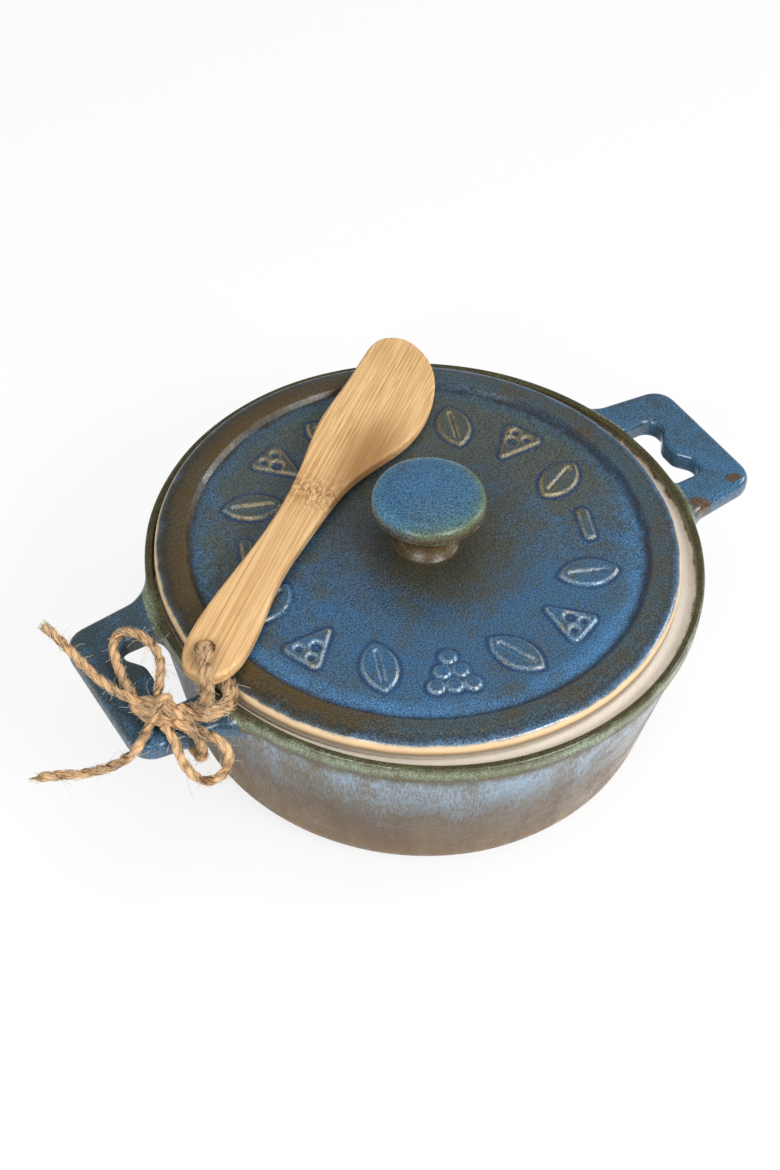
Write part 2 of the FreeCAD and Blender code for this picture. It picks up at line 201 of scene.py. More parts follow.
class GlazeSettings(bpy.types.PropertyGroup):
    speckle: bpy.props.FloatProperty(
        name="Speckle", description="Size of the smallest mottles in the glaze",
        default=0.00042, unit="LENGTH")
    pool: bpy.props.FloatVectorProperty(
        name="Pooled glaze", description="Colour where the glaze lies thick",
        default=linear("#123057"), subtype="COLOR")


class BambooSettings(bpy.types.PropertyGroup):
    grain: bpy.props.FloatProperty(
        name="Grain", description="Spacing of the fibre lines across the blade",
        default=0.0005, unit="LENGTH")
    light: bpy.props.FloatVectorProperty(
        name="Light wood", description="Colour of the pale tissue",
        default=linear("#e1bb88"), subtype="COLOR")
    dark: bpy.props.FloatVectorProperty(
        name="Dark fibre", description="Colour of the fibre bundles",
        default=linear("#b5874f"), subtype="COLOR")


class StageSettings(bpy.types.PropertyGroup):
    lens: bpy.props.FloatProperty(
        name="Focal length", description="Of the camera, on a 36 mm sensor", default=59.07)
    level: bpy.props.FloatProperty(
        name="Light level", description="Scales the lamps", default=1.0)


# Building tools

def add(tree, kind, inputs=None, out=None, stops=None, **settings):
    """Adds a node and gives its output: the one that is named, or else the first in use.

    An input is a number, a hex colour or the output that it is linked to.
    """
    made = tree.nodes.new("ShaderNode" + kind)
    for name, value in settings.items():
        setattr(made, name, value)
    if stops:
        elements = made.color_ramp.elements
        while len(elements) < len(stops):
            elements.new(1.0)
        for element, (position, code, alpha) in zip(elements, stops):
            element.position = position
            element.color = (*linear(code), alpha)
    for key, value in (inputs or {}).items():
        if isinstance(value, bpy.types.NodeSocket):
            tree.links.new(value, made.inputs[key])
        else:
            made.inputs[key].default_value = (*linear(value), 1) if isinstance(value, str) else value
    return made.outputs[out] if out else next((socket for socket in made.outputs if socket.enabled), None)


def emptied_tree(block):
    """The node tree of a new material or world, with nothing in it."""
    block.use_nodes = True
    block.node_tree.nodes.clear()
    return block.node_tree


def make_piece(name, points, faces, values, material, parts, slot):
    """An object from points in metres, with its shading values, riding on the one body."""
    mesh = bpy.data.meshes.new(name)
    mesh.from_pydata([tuple(point) for point in points], [], faces)
    mesh.polygons.foreach_set("use_smooth", [True] * len(mesh.polygons))
    for key, numbers in values.items():
        mesh.attributes.new(key, "FLOAT", "POINT").data.foreach_set("value", np.asarray(numbers, np.float32))
    mesh.materials.append(material)
    mesh.update()
    piece = bpy.data.objects.new(name, mesh)
    bpy.context.scene.collection.objects.link(piece)
    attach(piece, "root")
    if parts:
        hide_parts(*parts)
    return piece


def joined(meshes):
    """One mesh from several, each of them points, faces and shading values."""
    points, faces, values = [], [], {}
    first = 0
    for own_points, own_faces, own_values in meshes:
        points.append(own_points)
        faces += [tuple(first + v for v in face) for face in own_faces]
        for key, numbers in own_values.items():
            values.setdefault(key, []).append(numbers)
        first += len(own_points)
    return np.concatenate(points), faces, {key: np.concatenate(numbers) for key, numbers in values.items()}


def unit(vector):
    return vector / np.linalg.norm(vector)


def run_lengths(line):
    """How far along a line each of its points is."""
    return np.concatenate([[0], np.cumsum(np.linalg.norm(np.diff(line, axis=0), axis=1))])


def rounded_outline(corners, spacing, closed=True):
    """Points along straight runs joined by tangent arcs, and how far along each corner's middle is."""
    widest_step = math.radians(16)
    points = []
    marks = []
    count = len(corners)
    for i, (x, y, radius) in enumerate(corners):
        corner = np.array([x, y], float)
        if radius == 0 or (not closed and i in (0, count - 1)):
            marks.append(len(points))
            points.append(corner)
            continue
        back = unit(np.array(corners[i - 1][:2], float) - corner)
        ahead = unit(np.array(corners[(i + 1) % count][:2], float) - corner)
        half = math.acos(np.clip(back @ ahead, -1, 1)) / 2
        centre = corner + unit(back + ahead) * radius / math.sin(half)
        start = corner + back * radius / math.tan(half) - centre
        end = corner + ahead * radius / math.tan(half) - centre
        sweep = math.pi - 2 * half
        steps = max(3, math.ceil(sweep / widest_step), int(sweep * radius / spacing))
        marks.append(len(points) + steps // 2)
        for share in np.arange(steps + 1) / steps:
            weights = math.sin((1 - share) * sweep), math.sin(share * sweep)
            points.append(centre + (start * weights[0] + end * weights[1]) / math.sin(sweep))
    dense = []
    places = []
    total = len(points) if closed else len(points) - 1
    for i, point in enumerate(points):
        if i in marks:
            places.append(len(dense))
        dense.append(point)
        if i < total:
            run = points[(i + 1) % len(points)] - point
            pieces = int(np.linalg.norm(run) / spacing)
            dense += [point + run * j / pieces for j in range(1, pieces)]
    dense = np.array(dense)
    along = run_lengths(dense)
    return dense, along, [along[place] for place in places]


def turned_rings(profile, along, counts):
    """The turn, radius, height and place along the profile of each point on a turned form's rings."""
    turns = np.concatenate([np.arange(n) / n * 2 * math.pi for n in counts])
    return turns, *(np.repeat(values, counts) for values in (profile[:, 0], profile[:, 1], along))


def ring_faces(counts):
    """Faces between rings of points; a ring may have as many points as the last, or half, or twice."""
    faces = []
    first = 0
    for n, m in zip(counts, counts[1:]):
        a, b = first, first + n
        if n == m:
            faces += [(a + k, a + (k + 1) % n, b + (k + 1) % n, b + k) for k in range(n)]
        elif m == 1:
            faces += [(a + k, a + (k + 1) % n, b) for k in range(n)]
        elif n == 1:
            faces += [(a, b + (k + 1) % m, b + k) for k in range(m)]
        elif n == 2 * m:
            for k in range(m):
                p, q, r = a + 2 * k, a + 2 * k + 1, a + (2 * k + 2) % n
                s, t = b + k, b + (k + 1) % m
                faces += [(p, q, s), (q, t, s), (q, r, t)]
        else:
            for k in range(n):
                s, t = a + k, a + (k + 1) % n
                p, q, r = b + 2 * k, b + 2 * k + 1, b + (2 * k + 2) % m
                faces += [(s, q, p), (s, t, q), (t, r, q)]
        first += n
    return faces


def smooth_step(low, high, value):
    share = np.clip((value - low) / (high - low), 0, 1)
    return share * share * (3 - 2 * share)


def bell(value, width):
    return np.exp(-(value / width) ** 2)


def facing(x, y, heading, low, high):
    """A smooth step by the cosine between a point's direction from the axis and a heading in degrees."""
    return smooth_step(low, high, np.cos(np.arctan2(y, x) - math.radians(heading)))


def untrue(turns, lobes):
    """How far a ring stands off a true circle, from the count, size and phase of its lobes."""
    return sum(size * np.sin(count * turns + phase) for count, size, phase in lobes)


def signed_distance(x, y, outline):
    """Distance to a closed outline, negative inside it."""
    nearest = np.full(x.shape, np.inf)
    inside = np.zeros(x.shape, bool)
    for (ax, ay), (bx, by) in zip(outline, np.roll(outline, -1, axis=0)):
        run_x, run_y = bx - ax, by - ay
        share = np.clip(((x - ax) * run_x + (y - ay) * run_y) / (run_x ** 2 + run_y ** 2), 0, 1)
        nearest = np.minimum(nearest, (x - ax - share * run_x) ** 2 + (y - ay - share * run_y) ** 2)
        if ay != by:
            inside ^= ((ay > y) != (by > y)) & (x < run_x * (y - ay) / run_y + ax)
    return np.where(inside, -1, 1) * np.sqrt(nearest)


def waves(seed, size, x, y, z=0):
    """A smooth random value about from -1 to 1 at each point, with features of about that size."""
    rng = np.random.default_rng(seed)
    value = np.zeros(np.shape(x))
    for _ in range(12):
        direction = unit(rng.normal(size=3)) * 2 * math.pi / size * rng.uniform(0.5, 1.4)
        value += np.sin(x * direction[0] + y * direction[1] + z * direction[2] + rng.uniform(0, 2 * math.pi))
    return value / 5


# Glaze

def glazed_stoneware(name, zones, total, ear_and_shade_colours=None):
    """Stoneware with a dipped reactive glaze: mottled blue that breaks to brown where it is thin.

    A zone is its place along the profile in mm, its blue and brown colours and its coat. The coat
    is 0 on bare clay, 0.5 on the plain liner glaze and 1 on the mottled glaze.
    """
    settings = bpy.context.scene.glaze_settings
    material = bpy.data.materials.new(name)
    tree = emptied_tree(material)
    read = {key: add(tree, "Attribute", out="Fac", attribute_name=key)
            for key in ("profile", "waver", "brown", *(("ear", "worn") if ear_and_shade_colours else ("edge", "pool")))}
    place = add(tree, "TexCoord", out="Object")
    # Runs in the glaze are long downwards: the noise is stretched along Z
    run_place = add(tree, "Mapping", {"Vector": place, "Scale": (1, 1, 0.12)})
    # Each noise's place, size in metres, detail and roughness
    noises = {
        "runs": (run_place, 0.006, 4.0, 0.62),
        "speckle": (place, settings.speckle, 2.0, 0.7),
        "mottle": (run_place, 1.25 * settings.speckle, 2.0, 0.7),
        "cloud": (place, 0.009, 5.0, 0.6),
        "ripple": (place, 0.0045, 2.0, 0.5),
    }
    noise = {key: add(tree, "TexNoise", {"Vector": where, "Scale": 1 / size, "Detail": detail,
                                         "Roughness": roughness})
             for key, (where, size, detail, roughness) in noises.items()}
    runs = add(tree, "Math", {0: noise["runs"], 1: 0.5}, operation="SUBTRACT")
    # The runs move each zone's border up and down by the reach that the mesh gives
    moved = add(tree, "Math", {0: runs, 1: read["waver"], 2: read["profile"]}, operation="MULTIPLY_ADD")
    factor = add(tree, "Math", {0: moved, 1: total * MM}, operation="DIVIDE")
    blue_side, brown_side = (
        add(tree, "ValToRGB", {"Fac": factor},
            stops=[(zone[0] / total, zone[column], zone[3]) for zone in zones])
        for column in (1, 2))
    mixed = read["brown"]
    for source, weight in ((noise["cloud"], 1.6), (noise["mottle"], 2.6), (runs, 1.4)):
        mixed = add(tree, "Math", {0: source, 1: weight, 2: mixed}, operation="MULTIPLY_ADD")
    share = add(tree, "MapRange", {"Value": mixed, "From Min": 1.85, "From Max": 3.15},
                interpolation_type="SMOOTHSTEP")
    colour = add(tree, "Mix", {0: share, 6: blue_side, 7: brown_side}, data_type="RGBA")
    if ear_and_shade_colours:
        # The ears' own coat ends in runs, and is worn to brown in places; the same coat on the wall under the
        # ears and through the left ear's window is painted shade
        ear = add(tree, "Math", {0: runs, 1: 1.2, 2: read["ear"]}, operation="MULTIPLY_ADD")
        ear = add(tree, "MapRange", {"Value": ear, "From Min": 0.25, "From Max": 0.75},
                  interpolation_type="SMOOTHSTEP")
        ear_and_shade_colour = add(tree, "Mix", {0: share, 6: ear_and_shade_colours[0], 7: ear_and_shade_colours[1]}, data_type="RGBA")
        worn = add(tree, "Math", {0: runs, 1: read["worn"]}, operation="ADD")
        worn = add(tree, "MapRange", {"Value": worn, "From Min": 0.4, "From Max": 0.7, "To Max": 0.9})
        layers = ((ear, ear_and_shade_colour), (worn, "#533d1b"))
    else:
        # On the ornaments the glaze lies thick around them, and their edges are pale, partly as glaze
        # breaking over them and partly as a painted highlight
        thin = add(tree, "Mix", {0: share, 6: "#86a5bb", 7: "#a08c5e"}, data_type="RGBA")
        layers = []
        for key, low, high, over in (("edge", 0.15, 0.6, thin), ("pool", 0.2, 0.5, (*settings.pool, 1))):
            cover = add(tree, "Math", {0: read[key], 1: noise["cloud"]}, operation="MULTIPLY")
            cover = add(tree, "MapRange", {"Value": cover, "From Min": low, "From Max": high, "To Max": 0.75})
            layers.append((cover, over))
    for cover, over in layers:
        colour = add(tree, "Mix", {0: cover, 6: colour, 7: over}, data_type="RGBA")
    coat = blue_side.node.outputs["Alpha"]
    mottled = add(tree, "MapRange", {"Value": coat, "From Min": 0.55, "From Max": 1.0})
    fleck = add(tree, "MapRange", {"Value": noise["speckle"], "From Min": 0.38, "From Max": 0.62,
                                   "To Min": 0.38, "To Max": 1.62})
    fleck = add(tree, "Mix", {0: mottled, 2: 1.0, 3: fleck}, data_type="FLOAT")
    colour = add(tree, "HueSaturation", {"Color": colour, "Value": fleck})
    # Blue glaze is glossy, brown glaze is satin and bare clay is matt
    satin = add(tree, "MapRange", {"Value": noise["cloud"], "From Min": 0.35, "From Max": 0.65,
                                   "To Min": 0.09, "To Max": 0.17})
    satin = add(tree, "Math", {0: share, 1: 0.25, 2: satin}, operation="MULTIPLY_ADD")
    glazed = add(tree, "MapRange", {"Value": coat, "From Max": 0.5})
    rough = add(tree, "Mix", {0: glazed, 2: 0.85, 3: satin}, data_type="FLOAT")
    height = add(tree, "Math", {0: noise["speckle"], 1: 0.12, 2: noise["ripple"]}, operation="MULTIPLY_ADD")
    bump = add(tree, "Bump", {"Height": height, "Strength": 0.5, "Distance": 0.35 * MM})
    shader = add(tree, "BsdfPrincipled", {"Base Color": colour, "Roughness": rough, "Normal": bump,
                                          "IOR": 1.6})
    add(tree, "OutputMaterial", {"Surface": shader})
    return material


# Dish

def mirrored(half):
    """A closed outline from its half on the -Y side."""
    return half + [(x, -y, radius) for x, y, radius in reversed(half)]


# Each corner of a profile is its radius, height and rounding, and of a plan its X, Y and rounding
DISH_PROFILE = [
    (0, 0, 0), (BASE_RADIUS, 0, 8.0),
    (outer_wall(LIP_BOTTOM - LIP_OVERHANG_HEIGHT), LIP_BOTTOM - LIP_OVERHANG_HEIGHT, 0.9),
    (LIP_RADIUS, LIP_BOTTOM, 0.9), (LIP_RADIUS, DISH_HEIGHT, 0.9), (SEAT_OUTER, DISH_HEIGHT, 0.9),
    (SEAT_OUTER, SEAT_HEIGHT, 0.7), (outer_wall(SEAT_HEIGHT) - WALL_THICKNESS, SEAT_HEIGHT, 0.7),
    (outer_wall(FLOOR_THICKNESS) - WALL_THICKNESS, FLOOR_THICKNESS, 9.0), (0, FLOOR_THICKNESS, 0),
]
EAR_PLAN = mirrored([(59.0, -31.2, 0), (EAR_ROOT + 2.4, -23.2, 6.5), (EAR_REACH, -21.0, 6.5)])
LOBE_X = EAR_REACH - WINDOW_BAR
WINDOW_PLAN = mirrored([
    (EAR_ROOT - WINDOW_ROOT_SINK, -11.6, 4.5), (LOBE_X, -11.6, 3.3), (LOBE_X, -6.6, 2.2),
    (LOBE_X - TONGUE_REACH, -2.6, 3.5),
])
RIM_LOBES = ((3, 0.06, 0.7), (7, 0.042, 2.1), (13, 0.03, 0))
DISH_RING_POINTS = 384
DISH_SPACING = 1.6
EAR_GRID_LOW = (64, -33, 38)
EAR_GRID_HIGH = (96, 33, 52.4)
EAR_GRID_STEP = 0.55


def rounded_slab(plan, flat, radius):
    """Distance to a slab whose edges are rounded, from the distances to its outline and its faces."""
    shade_under_ears, above = plan + radius, flat + radius
    outside = np.hypot(np.maximum(shade_under_ears, 0), np.maximum(above, 0))
    return np.minimum(np.maximum(shade_under_ears, above), 0) + outside - radius


def ear_field(outline, window, filled):
    """Distance to the ear run into the wall by a soft fillet, just under the wall elsewhere."""
    fillet, lower_fillet = 2.6, 4.4
    skin, depth, lip_gap = 0.03, 1.3, 1.6

    def field(x, y, z):
        radius = np.hypot(x, y)
        flat = np.abs(z - (EAR_TOP + EAR_BOTTOM) / 2) - (EAR_TOP - EAR_BOTTOM) / 2
        plate = rounded_slab(signed_distance(x, y, outline), flat, EAR_EDGE_ROUND)
        pierced = np.maximum(plate, rounded_slab(-signed_distance(x, y, window), flat, WINDOW_EDGE_ROUND))
        wall = signed_distance(radius, z, filled)
        soft = fillet + (lower_fillet - fillet) * np.clip((46 - z) / 4, 0, 1)
        near = np.maximum(soft - np.abs(pierced - wall), 0) / soft
        joint = np.minimum(pierced, wall) - near ** 2 * soft / 4 + skin
        inner = np.maximum(-wall - depth, LIP_RADIUS - lip_gap - radius - 3 * (z < 46.5))
        return np.maximum(np.maximum(joint, inner), z - 51.6)
    return field


def surface_net(field, low, high, step):
    """A closed mesh where the field is zero, with one point in each cell that the surface crosses."""
    axes = [np.arange(a, b + step, step) for a, b in zip(low, high)]
    grid = np.meshgrid(*axes, indexing="ij")
    inside = field(*grid) < 0
    corners = sum(inside[i:i + inside.shape[0] - 1, j:j + inside.shape[1] - 1, k:k + inside.shape[2] - 1]
                  .astype(int) for i in (0, 1) for j in (0, 1) for k in (0, 1))
    cells = np.argwhere((corners > 0) & (corners < 8))
    index = np.full(corners.shape, -1)
    index[tuple(cells.T)] = np.arange(len(cells))
    middles = np.array(low) + (cells + 0.5) * step
    points = middles.copy()
    probe, least_slope, reach = 0.05, 0.2, 0.75 * step
    for _ in range(4):
        value = field(*points.T)
        slope = np.stack([field(*(points + probe * axis).T) - value for axis in np.eye(3)], axis=1) / probe
        points -= slope * (value / np.maximum((slope ** 2).sum(axis=1), least_slope))[:, None]
        points = np.clip(points, middles - reach, middles + reach)
    faces = []
    for axis, (u, v) in enumerate(((1, 2), (2, 0), (0, 1))):
        here = [slice(None) if k == axis else slice(1, -1) for k in range(3)]
        before, after = list(here), list(here)
        before[axis], after[axis] = slice(None, -1), slice(1, None)
        a, b = inside[tuple(before)], inside[tuple(after)]
        for change, order in ((a & ~b, 1), (b & ~a, -1)):
            at = np.argwhere(change)
            step_u, step_v = np.eye(3, dtype=int)[u], np.eye(3, dtype=int)[v]
            ring = [at, at + step_u, at + step_u + step_v, at + step_v][::order]
            faces.append(np.stack([index[tuple(cell.T)] for cell in ring], axis=1))
    return points, np.concatenate(faces)


def squared_distance(points, centre, half_sizes):
    """Squared distance from a centre, counted in half sizes."""
    return (((points - centre) / half_sizes) ** 2).sum(axis=1)


def build_dish():
    profile, along, marks = rounded_outline(DISH_PROFILE, DISH_SPACING, closed=False)
    base, wall_top, lip_low, lip_top, lip_in, seat, well = marks[1:8]
    counts = [1] + [DISH_RING_POINTS] * (len(profile) - 2) + [1]
    turns, radius, height, place = turned_rings(profile, along, counts)
    # The rim and wall aren't quite true, as on any moulded and hand-dipped piece
    sway = untrue(turns, RIM_LOBES) * smooth_step(0.45, 0.7, np.abs(np.sin(turns)))
    radius = radius + sway * ((place > base) & (place < lip_in))
    x, y = radius * np.cos(turns), radius * np.sin(turns)

    outlines = (EAR_PLAN, WINDOW_PLAN, DISH_PROFILE[:5] + [(0, DISH_HEIGHT, 0)])
    outline, window, filled = (rounded_outline(corners, 200)[0] for corners in outlines)
    field = ear_field(outline, window, filled)
    ear, ear_faces = surface_net(field, EAR_GRID_LOW, EAR_GRID_HIGH, EAR_GRID_STEP)
    rings = (np.stack([x, y, height], axis=1), ring_faces(counts), {})
    points, faces, _ = joined(
        [rings] + [(ear * (side, side, 1), ear_faces.tolist(), {}) for side in (1, -1)])
    # On the ears the profile value follows the height of the wall beside them
    ear_height = ear[:, 2]
    ear_place = base + (ear_height - 4) / math.cos(math.atan(WALL_FLARE))
    ear_place = np.where(ear_height > 47, lip_low + ear_height - LIP_BOTTOM, ear_place)
    ear_place = np.minimum(ear_place, lip_top - 0.3)
    # Painted shade: the ears' blue coat runs down the wall seen through the left ear's window, where the wall
    # lies in shade
    run_end = height + 5 * waves(17, 14, x, y)
    shade_behind_window = smooth_step(26, 6, y) * smooth_step(-17, -6, y) * smooth_step(8, 36, run_end)
    shade_behind_window = shade_behind_window * ((x < -50) & (place < lip_low))
    ear_wall = signed_distance(np.hypot(ear[:, 0], ear[:, 1]), ear_height, filled)
    # Painted shade: the wall under each ear takes the ears' coat too
    shade_under_ears = smooth_step(16, 11, np.abs(ear[:, 1])) * (ear_height < 47)
    ear_coat_and_shade = np.maximum(smooth_step(0.4, 2.6, ear_wall), shade_under_ears)
    # The back is browner than the front, and the wall and lip are browner in patches
    wall_brown = 0.24 * waves(11, 12, x, y, 0.1 * height) * (height < 46)
    lip_brown = 0.55 * waves(21, 17, x, y) * ((place > wall_top) & (place < seat))
    brown = 0.38 + 0.24 * waves(3, 60, *points.T) + 0.35 * facing(points[:, 0], points[:, 1], -70, 0.5, -0.9)
    brown += np.concatenate([wall_brown + lip_brown, -0.25 * ear_coat_and_shade, 0.1 * ear_coat_and_shade])
    # The glaze is worn through at one corner of the right ear and breaks to brown at its root
    chip = np.exp(-squared_distance(points, (87.6, -18.2, EAR_TOP), (2.5, 1.6, 2.0)) ** 2)
    root = np.exp(-squared_distance(points, (73.4, -21.8, 48.8), 4.6))
    # The runs' reach in mm, at places along the profile
    place = np.concatenate([place, ear_place, ear_place])
    reach = np.interp(place, *zip(
        (0, 2), (base, 8), (base + 12, 40), (wall_top - 12, 26), (wall_top - 2, 5), (lip_top, 3.4),
        (lip_in + 1, 4.4), (seat, 5.0), (seat + 3, 3.0)))
    values = {
        "profile": place * MM,
        "waver": reach * MM,
        "brown": brown,
        "ear": np.concatenate([shade_behind_window, ear_coat_and_shade, ear_coat_and_shade]),
        "worn": chip + 0.9 * root,
    }
    zones = [
        (0, "#94805f", "#94805f", 0.0),
        (base - 6, "#846638", "#846638", 0.55),
        (base + 4, "#6e552c", "#705328", 0.8),
        (base + 14, "#5a4829", "#5e4423", 0.8),
        (base + 23, "#504737", "#4f381b", 0.8),
        (base + 31, "#61717b", "#524531", 0.8),
        (wall_top - 5, "#7c98b1", "#615640", 0.8),
        (wall_top - 2.2, "#6e8798", "#5d543d", 0.8),
        (wall_top - 1.0, "#545f62", "#4a3e24", 1.0),
        (wall_top - 0.2, "#3a3826", "#33280f", 1.0),
        (lip_low + 0.5, "#4b4022", "#453816", 1.0),
        (lip_low + 1.3, "#66725b", "#555233", 1.0),
        (lip_low + 2.6, "#84937b", "#696e50", 1.0),
        (lip_top - 1.1, "#78846c", "#606244", 1.0),
        (lip_top + 0.2, "#47492d", "#3d391e", 1.0),
        (lip_in - 0.2, "#3e4025", "#37311b", 1.0),
        (seat - 1.1, "#4e4a2b", "#443a20", 1.0),
        (seat - 0.5, "#605335", "#53472b", 1.0),
        (seat + 0.1, "#d2c8ba", "#c4b6a2", 0.5),
        (seat + 2.2, "#e4dcd0", "#dad0c2", 0.5),
        (well, "#e6dfd4", "#dcd3c5", 0.5),
        (along[-1], "#d8d0c3", "#d0c7b9", 0.5),
    ]
    glaze = glazed_stoneware("dipped_reactive_glaze_on_stoneware", zones, along[-1], ("#39607f", "#343f42"))
    make_piece("dish_glazed", points * MM, faces, values, glaze, ["dish"], "glazed_stoneware")


# Lid

LID_PROFILE = [
    (0, UNDERSIDE, 0), (RING_INNER, UNDERSIDE, 0.8), (RING_INNER, RING_BOTTOM, 0.8),
    (RING_OUTER, RING_BOTTOM, 0.8), (RING_OUTER, SEAT_HEIGHT, 0.8),
    (LID_RADIUS - LID_CHAMFER, SEAT_HEIGHT, 0), (LID_RADIUS, SEAT_HEIGHT + LID_CHAMFER, 0),
    (LID_RADIUS, LID_EDGE_TOP, 2.0), (CREST_OUTER, CREST_TOP, 3.0), (CREST_INNER, CREST_TOP, 0.9),
    (DISC_RADIUS, DISC_TOP, 0.9), (8.5, DISC_TOP, 1.3), (7.2, 55.1, 0.6), (6.2, 56.8, 1.5),
    (6.2, 60.4, 4.0), (13.0, 65.6, 1.0), (14.6, 66.6, 1.2), (14.6, 69.7, 2.2), (9.5, 71.6, 20.0),
    (5.0, 72.2, 18.0), (0, 72.2, 0),
]
KNOB_LOBES = ((2, 0.156, 1.2), (5, 0.078, 0))
LID_SPACING = 1.5
ORNAMENT_HALF_BAND = 8.6
ORNAMENT_SPACING = 0.36
FAR_OFF = 9.0


def turned_back(x, y, turn):
    return x * math.cos(turn) + y * math.sin(turn), -x * math.sin(turn) + y * math.cos(turn)


def leaf_distance(x, y):
    length, width = 15.6, 8.8
    half_rib_run, half_rib_width = 4.8, 0.45
    bow = (length ** 2 / 4 + width ** 2 / 4) / width
    lift = bow - width / 2
    u, v = turned_back(x, y, math.radians(24))
    leaf = np.maximum(np.hypot(u, v + lift) - bow, np.hypot(u, v - lift) - bow)
    rib = np.hypot(np.maximum(np.abs(u) - half_rib_run, 0), v) - half_rib_width
    return np.maximum(leaf, -rib)


def slice_distance(x, y):
    outline, _, _ = rounded_outline([(-6.7, 0, 0.7), (6.7, -5.9, 1.4), (6.7, 5.9, 1.4)], 200)
    body = signed_distance(x, y, outline)
    for eye_x, eye_y, radius in ((1, 1, 1.7), (4, -2, 1.2), (4.4, 2, 1.2)):
        body = np.maximum(body, radius - np.hypot(x - eye_x, y - eye_y))
    return body


def berry_distance(x, y):
    pitch, radius = 4.5, 2.1
    places = [((row - 1) * pitch, (place - row / 2) * pitch) for row in range(3) for place in range(row + 1)]
    return np.min([np.hypot(x - a, y - b) for a, b in places], axis=0) - radius


def bar_distance(x, y):
    half_run, half_width = 4.1, 1.4
    return np.hypot(x, np.maximum(np.abs(y) - half_run, 0)) - half_width


def ornament_distance(x, y):
    """Distance to the nearest ornament's outline, for points round the lid's axis."""
    order = [leaf_distance, slice_distance, leaf_distance, berry_distance]
    nearest = np.full(x.shape, FAR_OFF)
    for i in range(ORNAMENT_COUNT):
        u, v = turned_back(x, y, 2 * math.pi * i / ORNAMENT_COUNT)
        u = u - ORNAMENT_RING
        close = (np.abs(u) < 11) & (np.abs(v) < 11)
        figure = bar_distance if i % 8 == 7 else order[i % 4]
        nearest[close] = np.minimum(nearest[close], figure(u[close], v[close]))
    return nearest


